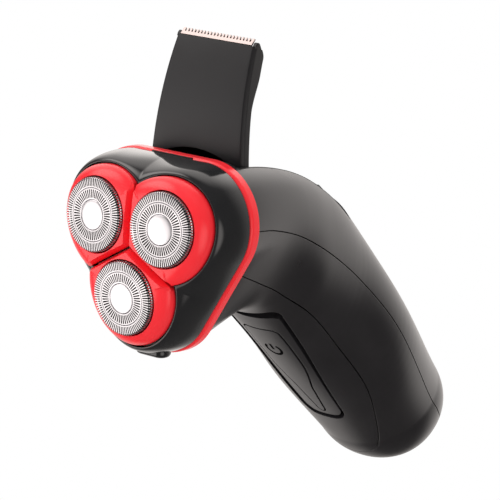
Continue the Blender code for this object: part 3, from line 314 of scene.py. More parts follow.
cutter = {"radius": 10.75, "top": 1.0, "wall": 0.45, "skirt": -4.4, "rim": 0.55,
          "innerSlots": 54, "outerSlots": 86, "innerFrom": 4.85, "innerTo": 7.3,
          "grooveAt": 7.75, "grooveHalf": 0.16, "grooveDeep": 0.3, "outerFrom": 8.2, "outerDown": -0.25,
          "barShare": 0.46}
badge = {"radius": 4.3, "sink": 0.12, "crown": 0.3}


# A ring with slots cut right through it between two of its profile points
def slottedBand(top, under, slotCount, slotFrom, slotTo):
    rays = slotCount * 2
    points, faces = [], []
    for profile in (top, under):
        for r, z in profile:
            for j in range(rays):
                turn = 2 * pi * (j // 2 + (cutter["barShare"] if j % 2 else 0)) / slotCount
                points.append((r * cos(turn), r * sin(turn), z))
    lower = len(top) * rays

    def at(layer, ring, ray):
        return layer * lower + ring * rays + ray % rays

    for ring in range(len(top) - 1):
        for ray in range(rays):
            if ray % 2 and slotFrom <= ring < slotTo:
                continue
            for layer in (0, 1):
                faces.append((at(layer, ring, ray), at(layer, ring, ray + 1),
                              at(layer, ring + 1, ray + 1), at(layer, ring + 1, ray)))
        if slotFrom <= ring < slotTo:
            for ray in range(rays):
                faces.append((at(0, ring, ray), at(0, ring + 1, ray),
                              at(1, ring + 1, ray), at(1, ring, ray)))
    for ray in range(rays):
        for ring in [0, len(top) - 1] + ([slotFrom, slotTo] if ray % 2 else []):
            faces.append((at(0, ring, ray), at(0, ring, ray + 1), at(1, ring, ray + 1), at(1, ring, ray)))
    return points, faces


def cutterBands():
    top, wall, radius, rim = cutter["top"], cutter["wall"], cutter["radius"], cutter["rim"]
    groove, grooveHalf, grooveLow = cutter["grooveAt"], cutter["grooveHalf"], top - cutter["grooveDeep"]
    innerTop = [(badge["radius"] + 0.05, top - 0.25), (badge["radius"] + 0.25, top),
                (cutter["innerFrom"], top), (cutter["innerTo"], top), (groove - grooveHalf, top),
                (groove, grooveLow)]
    innerUnder = [(r, top - wall) for r, z in innerTop]
    bend = [pi / 2 * k / 5 for k in range(6)]
    rimTop = [(radius - rim + rim * sin(a), top - rim + rim * cos(a)) for a in bend]
    rimUnder = [(radius - rim + (rim - wall) * sin(a), top - rim + (rim - wall) * cos(a)) for a in bend]
    outerTop = [(groove, grooveLow), (groove + grooveHalf, top), (cutter["outerFrom"], top)] + rimTop
    outerTop += [(radius, cutter["outerDown"]), (radius, cutter["skirt"])]
    outerUnder = [(r, top - wall) for r, z in outerTop[:3]] + rimUnder + [
        (radius - wall, cutter["outerDown"]), (radius - wall, cutter["skirt"])]
    return (slottedBand(innerTop, innerUnder, cutter["innerSlots"], 2, 3),
            slottedBand(outerTop, outerUnder, cutter["outerSlots"], 2, 9))


def joined(*solids):
    points, faces = [], []
    for solidPoints, solidFaces in solids:
        start = len(points)
        points += list(solidPoints)
        faces += [tuple(i + start for i in face) for face in solidFaces]
    return points, faces


petal = {"radius": 14.8, "top": -0.3, "drop": 4.9, "cone": 0.3, "skirt": -5.6, "grooveHalf": 1.15,
         "lipHalf": 0.5, "lipTop": -2.7, "lipLow": -2.9, "lipUnder": -3.2, "notchRise": 2.6, "notchSpan": 3,
         "notchPinch": 0.6,
         "notchFill": 2.4, "countersink": 0.2, "turns": 220, "rings": 18}


def petalEdge(turn):      # opening of the cap round the three petals, turn measured clockwise from up
    offset = abs(turn % (2 * pi / 3) - pi / 3)
    reach = unit["radius"] * cos(offset) + sqrt(petal["radius"] ** 2 - (unit["radius"] * sin(offset)) ** 2)
    return reach + petal["notchFill"] * (offset / (pi / 3)) ** petal["notchSpan"] - petal["notchPinch"] * (
        sin(min(offset / (pi / 3), 1) * pi) ** 2)


# From the cutter's axis to the petal's edge, turn 0 pointing away from the head's middle
def petalReach(turn, grooveHalf):
    low, high = 8.0, 20.0
    while high - low > 0.001:
        reach = (low + high) / 2
        across, up = reach * sin(turn), unit["radius"] + reach * cos(turn)
        inside = sqrt(across ** 2 + up ** 2) < petalEdge(pi / 3 + atan2(across, up))
        low, high = (reach, high) if inside else (low, reach)
    line = unit["radius"] * sin(pi / 3) - grooveHalf
    for side in (radians(150), radians(-150)):
        if cos(turn - side) > 0.05:
            low = min(low, line / cos(turn - side))
    return low


def petalHeight(radius, full, notch):
    start = cutter["radius"] + gap
    share = min(max((radius - start) / (full - start), 0), 1)
    rounded = (1 - petal["cone"]) * (1 - sqrt(1 - share ** 2.4))
    drop = petal["drop"] - petal["notchRise"] * notch
    return petal["top"] - drop * (petal["cone"] * share + rounded)


def petalSolid():
    line = unit["radius"] * sin(pi / 3) - petal["grooveHalf"]
    corner = radians(150) - acos(line / (petal["radius"] + 0.6))
    turns = list(np.linspace(0, corner, petal["turns"] // 2))
    turns += list(np.linspace(corner, pi, petal["turns"] // 4))[1:]
    turns = turns + [-t for t in turns[1:-1]][::-1]
    hole = cutter["radius"] + gap
    start = hole + petal["countersink"]
    rows = []
    for turn in turns:
        reach, lip = petalReach(turn, petal["grooveHalf"]), petalReach(turn, petal["lipHalf"])
        full = petalReach(turn, -50)
        notch = min(abs(atan2(reach * sin(turn), unit["radius"] + reach * cos(turn))) / (pi / 3), 1) ** 2
        loop = [(hole, petal["skirt"]), (hole, petal["top"] - 0.9),
                (start - 0.08, petalHeight(start, full, notch) - 0.1)]
        for k in range(petal["rings"] + 1):
            radius = start + (reach - 0.1 - start) * k / petal["rings"]
            loop.append((radius, petalHeight(radius, full, notch)))
        edge = petalHeight(reach, full, notch) - 0.12
        lipTop = min(petal["lipTop"], edge - 0.03)
        lipLow = min(petal["lipLow"], lipTop - 0.03)
        loop += [(reach, edge), (lip, lipTop), (lip, lipLow), (reach, min(petal["lipUnder"], lipLow - 0.03)),
                 (reach, petal["skirt"])]
        rows.append([(r * sin(turn), r * cos(turn), z) for r, z in loop])
    return stitch(rows, hoop=True)


spoke = {"half": 0.35, "low": -7.4, "top": -4.15, "reach": 1.2}
spokes = []
for angle in (90, 210, 330):
    bar = block(spoke["half"], 0, petalEdge(0) - spoke["reach"], spoke["low"], spoke["top"])
    spokes.append(moved(bar, Matrix.Rotation(radians(angle - 90), 4, "Z")))
# painted shade: the spacer bars take a darker copy of the red ABS for lying deep in the grooves between the
# petals
finishPiece(newPiece("petal_spacer_bars", joined(*spokes)), "head", "redAbsPaintedShade", ["petal_spacer"])

for side, angle in sides.items():
    stand = unitStand(angle)
    body = side + "_unit"
    petalPiece = newPiece("petal_cover_" + side, petalSolid(), stand)
    finishPiece(petalPiece, body, "redAbs", ["petal_" + side], 38)
    foil = newPiece("slotted_foil_" + side, joined(*cutterBands()), stand)
    finishPiece(foil, body, "turnedSteel", ["outer_cutter_" + side], 40)
    top = cutter["top"] - badge["sink"]
    rim = badge["radius"]
    disc = [(0.02, top - 0.2), (rim, top - 0.2), (rim, top), (rim - 0.06, top + 0.07), (rim - 0.2, top + 0.1)]
    disc += [(rim * (1 - k / 8), top + 0.1 + badge["crown"] * (1 - (1 - k / 8) ** 2)) for k in range(1, 8)]
    disc += [(0.02, top + 0.1 + badge["crown"])]
    badgePiece = newPiece("centre_disc_" + side, spun(disc, 96), stand)
    finishPiece(badgePiece, body, "anodisedDisc", ["cutter_badge_" + side], 50)
print("shaving units made")


def cornerRadius(turn, lobe, corner):     # rounded triangle, turn measured clockwise from up
    offset = abs(turn % (2 * pi / 3) - pi / 3)
    reach = atan2(corner * sin(pi / 3), lobe + corner * cos(pi / 3))
    if offset < reach:
        return lobe * cos(offset) + sqrt(corner ** 2 - (lobe * sin(offset)) ** 2)
    return (lobe / 2 + corner) / cos(pi / 3 - offset)


def hoop(rowAt, steps):
    rows = []
    for k in range(steps):
        turn = 2 * pi * k / steps
        rows.append([(r * sin(turn), r * cos(turn), z) for r, z in rowAt(turn)])
    return stitch(rows, hoop=True)


cap = {"lobe": 15.0, "corner": 17.5, "back": -17.3, "rim": -6.0, "wall": 1.6, "steps": 24, "turns": 300}
ring = {"corner": 18.0, "front": -17.6, "depth": 3.4, "width": 2.7, "slotBottom": -18.12}
hinge = {"height": 25.0, "back": -17.75, "radius": 0.3, "half": 7.6, "slot": 0.38}
tab = {"half": 5.5, "front": -11.5, "low": -33.5, "thick": 2.2, "corner": 2.4, "crown": 1.3}


def capCurve(turn, inset, steps):
    notch = (abs(turn % (2 * pi / 3) - pi / 3) / (pi / 3)) ** 2
    start = petalEdge(turn) + gap
    end = cornerRadius(turn, cap["lobe"], cap["corner"]) - inset
    rim = cap["rim"] + 2.4 * notch - inset
    power = 2 / (2.1 - 0.1 * notch)
    curve = []
    for k in range(steps + 1):
        bend = pi / 2 * k / steps
        curve.append((start + (end - start) * max(sin(bend), 0) ** power,
                      rim - (rim - cap["back"]) * (1 - max(cos(bend), 0) ** power)))
    return curve


def capRow(turn):
    return capCurve(turn, 0, cap["steps"]) + capCurve(turn, cap["wall"], 8)[::-1]


def ringRow(turn):
    outer = cornerRadius(turn, cap["lobe"], ring["corner"])
    inner, front = outer - ring["width"], ring["front"]
    return [(inner, front - ring["depth"]), (inner, front - 0.25), (inner + 0.08, front - 0.07),
            (inner + 0.25, front), (outer - 0.9, front), (outer - 0.5, front - 0.1),
            (outer - 0.2, front - 0.35), (outer - 0.05, front - 0.75), (outer, front - 1.2),
            (outer, front - ring["depth"])]


cover = newPiece("head_cap_cover", hoop(capRow, cap["turns"]))
shape(cover, block(tab["half"] + gap, -40, -28, -30, tab["front"] + gap), "DIFFERENCE")
finishPiece(cover, "head", "polishedBlackAbs", ["head_cap"], 40)

trimRing = newPiece("collar_ring_trim", hoop(ringRow, cap["turns"]))
shape(trimRing, block(hinge["half"] + 0.1, hinge["height"] - hinge["slot"], hinge["height"] + hinge["slot"],
                      ring["slotBottom"], -10), "DIFFERENCE")
finishPiece(trimRing, "grip", "redAbs", ["collar_ring"], 50)

pinTurns = [2 * pi * k / 24 for k in range(24)]
pinRound = [(hinge["radius"] * cos(turn), hinge["radius"] * sin(turn)) for turn in pinTurns]
hingePin = stitch([[(x, hinge["height"] + y, hinge["back"] + z) for y, z in pinRound]
                   for x in (-hinge["half"], hinge["half"])])
# painted shade: the hinge rod takes the darkened steel for lying in the collar ring's slot
finishPiece(newPiece("head_hinge_rod", hingePin), "grip", "steelPaintedShade", ["head_hinge_pin"], 40)


def tabOutline(inset):      # rounded oblong: across, out of the face
    half, middle = tab["half"] - inset, (cap["back"] + tab["front"]) / 2
    deep, corner = (tab["front"] - cap["back"]) / 2 - inset, tab["corner"] - inset * 0.6
    outline = []
    for k, (x, z) in enumerate(((1, 1), (-1, 1), (-1, -1), (1, -1))):
        for step in range(9):
            turn = pi / 2 * (k + step / 8)
            outline.append((x * (half - corner) + corner * cos(turn),
                            middle + z * (deep - corner) + corner * sin(turn)))
    return outline


rows = [[(x, tab["low"] + tab["crown"] * (1 - sin(pi / 2 * k / 8)), z)
         for x, z in tabOutline(tab["crown"] * (1 - cos(pi / 2 * k / 8)))] for k in range(8, -1, -1)]
rows.append([(x, tab["low"] + tab["thick"], z) for x, z in tabOutline(0)])
finishPiece(newPiece("head_release_tab", stitch(rows)), "head_release", "polishedBlackAbs",
            ["head_release_button"], 60)
print("head made")

# Lines lie in the middle plane: height up the shaving face, distance out of it, mm.
grip = {"wall": 1.9, "neckCorner": 17.0, "neckFront": -21.3, "waist": (-21.0, -48.3), "waistRounding": 12.0,
        "waistShare": 0.21, "frontSlant": 41.3, "frontLength": 83.7, "backBulge": (28.1, -82.5),
        "backTurn": (9.6, -81.0), "endDepth": 39.2, "endSlant": 45.8, "endReach": 20.5, "endShare": 0.20,
        "halfWidths": (29.99, 25.3, 22.9, 25.7, 21.2), "squareness": 2.1, "endFlat": 1.2,
        "seatBulge": (19.0, -100.0), "seatTurn": (8.0, -76.0), "seatEnd": 37.2,
        "rows": 150, "columns": 160}
backSeam = ((7.6, -18), (5.9, -33), (0.4, -52), (-11.9, -76), (-25.7, -93.3), (-45, -110.2),
            (-63, -128.6), (-70.5, -139), (-73, -150))
frontSeam = ((-5, -18), (-12, -38), (-17.2, -50.9), (-27.8, -68.3), (-46, -88), (-64, -104.2),
             (-73.5, -112.3), (-79, -115.3), (-88, -117))


def throughPoints(controls, steps):
    pts = [np.array(p, float) for p in controls]
    pts = [2 * pts[0] - pts[1]] + pts + [2 * pts[-1] - pts[-2]]
    curve = []
    for i in range(1, len(pts) - 2):
        for k in range(steps):
            s = k / steps
            curve.append(0.5 * (2 * pts[i] + (pts[i + 1] - pts[i - 1]) * s
                         + (2 * pts[i - 1] - 5 * pts[i] + 4 * pts[i + 1] - pts[i + 2]) * s ** 2
                         + (3 * pts[i] - pts[i - 1] - 3 * pts[i + 1] + pts[i + 2]) * s ** 3))
    curve.append(pts[-2])
    return np.array(curve)


def distances(line):
    steps = np.r_[0, np.cumsum(np.linalg.norm(np.diff(line, axis=0), axis=1))]
    return steps / steps[-1]


def bezier(a, b, c, d, count):
    s = np.linspace(0, 1, count)[:, None]
    a, b, c, d = (np.array(p, float) for p in (a, b, c, d))
    return (1 - s) ** 3 * a + 3 * (1 - s) ** 2 * s * b + 3 * (1 - s) * s * s * c + s ** 3 * d


def planeDirection(slant):
    return np.array([-sin(radians(slant)), -cos(radians(slant))])


frontDown = planeDirection(grip["frontSlant"])
frontOut = np.array([frontDown[1], -frontDown[0]])
waist = np.array(grip["waist"])
neckTop = np.array([cap["lobe"] / 2 + grip["neckCorner"], grip["neckFront"]])
neckBottom = np.array([-cap["lobe"] - grip["neckCorner"], grip["neckFront"]])
frontEnd = waist + frontDown * grip["frontLength"]
endAlong = planeDirection(grip["endSlant"])
endAcross = np.array([-endAlong[1], endAlong[0]])
backEnd = frontEnd + grip["endDepth"] * endAcross
backLine = bezier(neckTop, grip["backBulge"], grip["backTurn"], backEnd, 200)
neckAlong = (waist - neckBottom) / np.linalg.norm(waist - neckBottom)
bend = np.linspace(0, 1, 25)[:, None]
bendStart, bendEnd = waist - neckAlong * grip["waistRounding"], waist + frontDown * grip["waistRounding"]
underBend = (1 - bend) ** 2 * bendStart + 2 * bend * (1 - bend) * waist + bend ** 2 * bendEnd
underLine = np.vstack([[neckBottom], underBend, [frontEnd]])
seatLine = bezier(neckTop, grip["seatBulge"], grip["seatTurn"], frontEnd + grip["seatEnd"] * endAcross, 200)
backShare, seatShare, underShare = distances(backLine), distances(seatLine), distances(underLine)
widthLine = throughPoints([(k, w) for k, w in enumerate(grip["halfWidths"])], 10)[:, 1]
widthShare = np.linspace(0, 1, len(widthLine))


def along(line, shares, share):
    return np.stack([np.interp(share, shares, line[:, k]) for k in range(2)], -1)


def gripLines(share):
    under = np.interp(share, [0, grip["waistShare"], 1], [0, underShare[13], 1])
    return (along(backLine, backShare, share), along(underLine, underShare, under),
            np.interp(share, widthShare, widthLine))


def gripSkin(level, turn):      # level: 1 at the neck to 0 at the tip; turn: 0 at the back
    share = np.clip((1 - level) / (1 - grip["endShare"]), 0, 1)
    rounding = np.clip(1 - level / grip["endShare"], 0, 1) * pi / 2
    shrink = np.maximum(np.cos(rounding), 0) ** (2 / 2.2)
    reach = np.sin(rounding) ** (2 / 2.2) * grip["endReach"]
    back, under, width = gripLines(share)
    blend = np.clip(share / 0.35, 0, 1)
    blend = blend * blend * (3 - 2 * blend)
    lobe, neckCorner = cap["lobe"], grip["neckCorner"]
    corner = np.vectorize(cornerRadius)(turn, lobe, neckCorner)
    neckAcross = corner * np.sin(turn) / (lobe * sin(pi / 3) + neckCorner)
    neckUp = (corner * np.cos(turn) + lobe + neckCorner) / (1.5 * lobe + 2 * neckCorner)
    ovalAcross = np.sign(np.sin(turn)) * np.abs(np.sin(turn)) ** (2 / grip["squareness"])
    ovalUp = (1 + np.sign(np.cos(turn)) * np.abs(np.cos(turn)) ** (2 / grip["squareness"])) / 2
    up = (1 - blend) * neckUp + blend * ovalUp
    across = width * ((1 - blend) * neckAcross + blend * ovalAcross)
    middle = (back + under) / 2
    spot = middle + ((up - 0.5) * shrink)[..., None] * (back - under) + reach[..., None] * endAlong
    return np.stack([across * shrink, spot[..., 0], spot[..., 1]], -1)


def skinInward(level, turn):
    step = 0.004
    a = gripSkin(np.clip(level + step, 0, 1), turn) - gripSkin(np.clip(level - step, 0, 1), turn)
    b = gripSkin(level, turn + step) - gripSkin(level, turn - step)
    normal = np.cross(a, b)
    normal /= np.linalg.norm(normal, axis=-1)[..., None]
    middle = gripSkin(level, np.full_like(turn, pi / 2)) * np.array([0, 1, 1])
    facing = np.sum(normal * (middle - gripSkin(level, turn)), axis=-1)
    return normal * np.where(facing < 0, -1, 1)[..., None]


def gripSolid(inset=0.0, rows=None, columns=None, openNeck=0.0):
    rows, columns = rows or grip["rows"], columns or grip["columns"]
    levels = np.concatenate([np.linspace(1, grip["endShare"], rows, endpoint=False),
                             np.linspace(grip["endShare"], 0.004, rows // 3)])
    turns = np.linspace(0, 2 * pi, columns, endpoint=False) + pi / columns
    level, turn = np.meshgrid(levels, turns, indexing="ij")
    skin = gripSkin(level, turn)
    if inset:
        skin = skin + skinInward(np.clip(level, 0.03, 0.985), turn) * inset
    loops = [list(map(tuple, row)) for row in skin]
    if openNeck:
        loops.insert(0, [(x, y, z + openNeck) for x, y, z in loops[0]])
    points, faces = stitch(loops)
    faces.pop()
    tip = gripSkin(np.array([0.0]), np.array([0.0]))[0] + np.array([0, *(-endAlong)]) * inset
    base = (len(loops) - 1) * columns
    faces += [(base + j, base + (j + 1) % columns, len(points)) for j in range(columns)]
    return points + [tuple(tip)], faces


def shiftedLine(controls, offset):
    line = throughPoints(controls, 14)
    tangent = np.gradient(line, axis=0)
    tangent /= np.linalg.norm(tangent, axis=1)[:, None]
    return [tuple(p) for p in line + np.stack([-tangent[:, 1], tangent[:, 0]], -1) * offset]


def sidePrism(outline, half=45):
    stand = Matrix(((0, 0, 1, 0), (1, 0, 0, 0), (0, 1, 0, 0), (0, 0, 0, 1)))
    return moved(plate(outline, -half, half), stand)


def frontStand(distance, height=0.0):     # x across, y down the grip, z out of its front face
    spot = waist + frontDown * distance + frontOut * height
    return Matrix(((-1, 0, 0, 0), (0, frontDown[0], frontOut[0], spot[0]),
                   (0, frontDown[1], frontOut[1], spot[1]), (0, 0, 0, 1)))


regions = {
    "rear": shiftedLine(backSeam, gap / 2) + [(-60, -175), (80, -175), (80, -10)],
    "side": (shiftedLine(backSeam, -gap / 2) + [(-90, -175), (-130, -150)]
             + shiftedLine(frontSeam, gap / 2)[::-1]),
    "front": shiftedLine(frontSeam, -gap / 2) + [(-130, -100), (-100, -10)]}
skinSolid = gripSolid()
hollowSolid = gripSolid(grip["wall"], 50, 60, openNeck=4.0)


def shellPiece(name, region):
    piece = newPiece(name, skinSolid)
    shape(piece, hollowSolid, "DIFFERENCE")
    return shape(piece, sidePrism(regions[region]), "INTERSECT")


tip = gripSkin(np.array([0.0]), np.array([0.0]))[0][1:]
seat = tip - endAlong * grip["endFlat"]
groundDown = headTurn.to_3x3().inverted() @ Vector((0, 0, -1))
endStand = Matrix.Translation((0, *seat)) @ groundDown.to_track_quat("Z", "Y").to_matrix().to_4x4()


def drum(radius, low, high, segments=96):
    return stitch([[(radius * cos(2 * pi * k / segments), radius * sin(2 * pi * k / segments), z)
                    for k in range(segments)] for z in (low, high)])


pocket = {"start": 0.025, "end": 0.462, "depth": 10.5, "wall": 1.0, "rootHalf": 18.2, "tipHalf": 14.6,
          "floor": 1.2}
socket = {"radius": 5.4}


def pocketBlock(start, end, grow, rise, depth, stations=36):
    rows = []
    for share in np.linspace(start, end, stations):
        back, under, width = gripLines(share)
        up = (back - under) / np.linalg.norm(back - under)
        part = (share - start) / (end - start)
        half = pocket["rootHalf"] + (pocket["tipHalf"] - pocket["rootHalf"]) * part + grow
        turns = np.linspace(0, pi / 2, 60)
        skin = gripSkin(np.full_like(turns, 1 - share * (1 - grip["endShare"])), turns)
        height = np.interp(half, skin[:, 0], (skin[:, 1:] - back) @ up)
        top, low = back + up * (height + rise), along(seatLine, seatShare, share) - up * depth
        rows.append([(-half, *top), (half, *top), (half, *low), (-half, *low)])
    return stitch(rows)


rearSkin = shellPiece("rear_shell_skin", "rear")
shape(rearSkin, pocketBlock(pocket["start"] - 0.004, pocket["end"] + 0.004, pocket["wall"] + gap, 8, 12),
      "DIFFERENCE")
shape(rearSkin, moved(drum(30, 0, 12), endStand), "DIFFERENCE")
bay = newPiece("trimmer_bay_liner",
               pocketBlock(pocket["start"], pocket["end"], pocket["wall"], 0, pocket["depth"]))
shape(bay, pocketBlock(pocket["start"] + 0.008, pocket["end"] - 0.008, 0, 8,
                       pocket["depth"] - pocket["floor"]), "DIFFERENCE")
finishPiece(bay, "grip", "etchedBlackAbs", ["trimmer_bay"])
finishPiece(rearSkin, "grip", "satinBlackAbs", ["rear_shell"])

sideSkin = shellPiece("side_shell_skin", "side")
shape(sideSkin, moved(drum(30, 0, 12), endStand), "DIFFERENCE")
shape(sideSkin, moved(drum(socket["radius"] + gap / 2, -10, 10), endStand), "DIFFERENCE")
finishPiece(sideSkin, "grip", "satinBlackAbs", ["side_shell"])
print("grip shells made")

recess = {"start": 6.5, "length": 62.0, "topHalf": 12.6, "endHalf": 8.4, "topCorner": 3.0, "endCorner": 5.0,
          "depth": 5.2, "floor": 1.6, "sink": 0.45, "channel": 3.0, "sideTop": 2.0, "sideLow": 1.3,
          "startGap": 4.4, "endGap": 1.4}
button = {"start": 18.0, "length": 47.5, "corner": 2.6, "groove": 0.6, "sink": 0.4, "low": -3.8,
          "halves": ((0, 6.5), (9, 6.5), (15.5, 6.3), (21.6, 5.9), (26.8, 4.8), (32.3, 3.2), (36.7, 2.5),
                     (44.5, 1.3))}
symbol = {"distance": 11.3, "radius": 2.7, "line": 0.95, "opening": 40, "bar": 3.0, "lift": 0.03,
          "thick": 0.12}


def recessOutline(sideTop, sideLow, start, end, steps=14):
    top, low = recess["topHalf"] - sideTop, recess["endHalf"] - sideLow
    upper, lower = recess["topCorner"] - sideTop / 2, recess["endCorner"] - sideLow
    end = recess["length"] - end
    turns = [pi / 2 * k / steps for k in range(steps + 1)]
    right = [(top - upper + upper * sin(t), start + upper - upper * cos(t)) for t in turns]
    right += [(low - lower + lower * cos(t), end - lower + lower * sin(t)) for t in turns]
    return right + [(-x, y) for x, y in right[::-1]]


def buttonOutline(grow, steps=60):
    corner, halves = button["corner"], throughPoints(button["halves"], 12)
    right = [(halves[0][1] - corner + (corner + grow) * sin(pi / 2 * k / 9),
              corner - (corner + grow) * cos(pi / 2 * k / 9)) for k in range(10)]
    right += [(np.interp(y, halves[:, 0], halves[:, 1]) + grow, y)
              for y in np.linspace(corner, halves[-1][0], steps)[1:]]
    tipHalf, tipStart = halves[-1][1] + grow, halves[-1][0]
    tipLong = button["length"] - 0.4 + grow - tipStart
    right += [(tipHalf * cos(pi / 2 * k / 9), tipStart + tipLong * sin(pi / 2 * k / 9)) for k in range(1, 9)]
    return right + [(-x, y) for x, y in right[::-1]]


panel = shellPiece("front_panel_skin", "front")
shape(panel, moved(plate(recessOutline(0, 0, 0, 0), -12, 20), frontStand(recess["start"])), "DIFFERENCE")
finishPiece(panel, "grip", "satinBlackAbs", ["front_panel"])

surroundLow = -recess["depth"] - recess["floor"]
plateOutline = recessOutline(recess["sideTop"], recess["sideLow"], recess["startGap"], recess["endGap"])
channel = newPiece("button_surround_channel", moved(plate(recessOutline(gap, gap, gap, gap), surroundLow, 8),
                                                    frontStand(recess["start"])))
shape(channel, gripSolid(recess["channel"]), "INTERSECT")
shape(channel, moved(plate(plateOutline, -20, 20), frontStand(recess["start"])), "DIFFERENCE")
finishPiece(channel, "grip", "etchedBlackAbs")
surround = newPiece("button_surround_plate",
                    moved(plate(plateOutline, surroundLow, 8), frontStand(recess["start"])))
shape(surround, gripSolid(recess["sink"]), "INTERSECT")
shape(surround, moved(plate(buttonOutline(button["groove"]), -recess["depth"], 20),
                      frontStand(button["start"])), "DIFFERENCE")
roundEdges(surround, 0.25, 50, 3)
finishPiece(surround, "grip", "satinBlackAbs", ["button_surround"])

key = newPiece("power_button_cap",
               moved(plate(buttonOutline(0), button["low"], 8), frontStand(button["start"])))
shape(key, gripSolid(button["sink"]), "INTERSECT")
finishPiece(key, "power_button", "satinBlackAbs", ["power_button"])
print("button made")


# Points drawn on the front face, dropped on to a piece's skin
def onSurface(piece, points, lift):
    tree = BVHTree.FromObject(piece, bpy.context.evaluated_depsgraph_get())
    stand = headAxes @ inMetres(frontStand(button["start"]))
    down = stand.to_3x3() @ Vector((0, 0, -1))
    found = []
    for x, y in points:
        spot, normal = tree.ray_cast(stand @ Vector((x * mm, y * mm, 10 * mm)), down)[:2]
        found.append(tuple(headAxes.inverted() @ (spot + normal * lift * mm) / mm))
    return found


def flatLine(centreLine, width):
    pts = [Vector(p) for p in centreLine]
    left, right = [], []
    for k, p in enumerate(pts):
        ahead = (pts[min(k + 1, len(pts) - 1)] - pts[max(k - 1, 0)]).normalized()
        side = Vector((-ahead.y, ahead.x)) * width / 2
        left.append(tuple(p + side))
        right.append(tuple(p - side))
    return left, right


bpy.context.view_layer.update()
arcTurns = np.linspace(radians(symbol["opening"]), 2 * pi - radians(symbol["opening"]), 40)
arc = [(symbol["radius"] * sin(t), symbol["distance"] - symbol["radius"] * cos(t)) for t in arcTurns]
bar = [(0, symbol["distance"] - symbol["radius"] - 0.3 + symbol["bar"] * k / 8) for k in range(9)]
markSolids = []
for line in (arc, bar):
    left, right = flatLine(line, symbol["line"])
    rows = []
    loops = [onSurface(key, left, symbol["lift"]), onSurface(key, right, symbol["lift"]),
             onSurface(key, right, -symbol["thick"]), onSurface(key, left, -symbol["thick"])]
    markSolids.append(stitch([[loop[k] for loop in loops] for k in range(len(line))]))
mark = newPiece("power_symbol", joined(*markSolids))
# painted shade: the power symbol is a thin flat black sheet on the key, standing for the shade of an
# engraving
finishPiece(mark, "power_button", "engravedMarkShade")

trimmer = {"root": (21.6, -28.1), "bend": (40.5, -27.7), "tip": (57.2, -33.8), "rootHalf": 17.6,
           "tipHalf": 14.9, "thin": 3.4, "thick": 5.2, "skin": 1.1, "arch": 0.12, "wall": 1.3,
           "chamfer": 0.9, "tipRound": 1.3, "stations": 60}
blade = {"half": 13.35, "height": 2.5, "thickness": 0.5, "slant": 40, "teeth": 22, "toothDepth": 1.2}


def trimmerSpot(x, depth, share):
    a, b, c = (np.array(trimmer[k]) for k in ("root", "bend", "tip"))
    spot = (1 - share) ** 2 * a + 2 * share * (1 - share) * b + share ** 2 * c
    ahead = (1 - share) * (b - a) + share * (c - b)
    ahead /= np.linalg.norm(ahead)
    return (x, *(spot - np.array([-ahead[1], ahead[0]]) * depth))


def trimmerSize(share):
    swell = min(max((share - 0.45) / 0.35, 0), 1)
    half = trimmer["rootHalf"] + (trimmer["tipHalf"] - trimmer["rootHalf"]) * share
    thick = trimmer["thin"] + (trimmer["thick"] - trimmer["thin"]) * swell * swell * (3 - 2 * swell)
    return half, thick - trimmer["tipRound"] * max((share - 0.93) / 0.07, 0) ** 2


def housingSection(half, thick):
    inner, chamfer, skin = half - trimmer["wall"], trimmer["chamfer"], trimmer["skin"]
    front = [(x, -0.35 + 0.45 * (x / (half - chamfer)) ** 2)
             for x in np.linspace(-(half - chamfer - 0.25), half - chamfer - 0.25, 25)]
    corner = [(half - chamfer + 0.02, 0.16), (half - chamfer + 0.3, 0.33), (half - 0.25, 0.72),
              (half - 0.06, 0.95), (half, 1.25)]
    inside = [(x, skin - 0.2 * (1 - (x / inner) ** 2)) for x in np.linspace(inner, -inner, 15)]
    rightHand = corner + [(half, thick - 0.3), (half - 0.3, thick), (inner + 0.1, thick),
                          (inner, thick - 0.1)]
    leftHand = [(-x, z) for x, z in rightHand[::-1]]
    return front + rightHand + inside + leftHand


rows = []
for base in np.linspace(0, 1, trimmer["stations"] + 1):
    half, thick = trimmerSize(base)
    inner = half - trimmer["wall"]
    row = []
    for x, depth in housingSection(half, thick):
        arch = trimmer["arch"] * max(1 - (x / inner) ** 2, 0) if depth < trimmer["skin"] + 0.1 else 0
        row.append(trimmerSpot(x, depth, arch + base * (1 - arch)))
    rows.append(row)
housing = newPiece("trimmer_housing_shell", stitch(rows))
ears = []
tipHalf = trimmerSize(1.0)[0]
for hand in (-1, 1):
    outer, inner = hand * tipHalf, hand * (tipHalf - trimmer["wall"])
    profile = [(0.5, -0.5), (0.5, 0.5), (0.65, 1.0), (0.95, 1.35), (1.4, 1.45), (1.9, 1.25), (2.6, 0.7),
               (3.2, 0.1), (3.6, -0.5), (3.6, -0.9)]
    tipSpot, nearSpot = np.array(trimmerSpot(0, 0, 1.0)), np.array(trimmerSpot(0, 0, 0.98))
    ahead = (tipSpot - nearSpot) / np.linalg.norm(tipSpot - nearSpot)
    rows = []
    for x in np.linspace(inner, outer, 4):
        rows.append([tuple(np.array(trimmerSpot(x, depth, 1.0)) + ahead * rise) for depth, rise in profile])
    ears.append(stitch(rows))
earPiece = newPiece("trimmer_blade_guards", joined(*ears))
roundEdges(earPiece, 0.15, 35, 3)
finishPiece(earPiece, "trimmer", "etchedBlackAbs")
finishPiece(housing, "trimmer", "etchedBlackAbs", ["trimmer_housing"], 25)


def comb(half, start, end, teeth, depth):
    pitch = 2 * half / teeth
    outline = [(half, start), (half, end)]
    for k in range(teeth - 1):
        middle = half - (k + 1) * pitch
        outline += [(middle + pitch * 0.3, end), (middle + pitch * 0.2, end - depth),
                    (middle - pitch * 0.2, end - depth), (middle - pitch * 0.3, end)]
    return outline + [(-half, end), (-half, start)]


bladeUp = np.array([cos(radians(blade["slant"])), -sin(radians(blade["slant"]))])
bladeOut = np.array([-bladeUp[1], bladeUp[0]])
tipFront = np.array(trimmer["tip"])


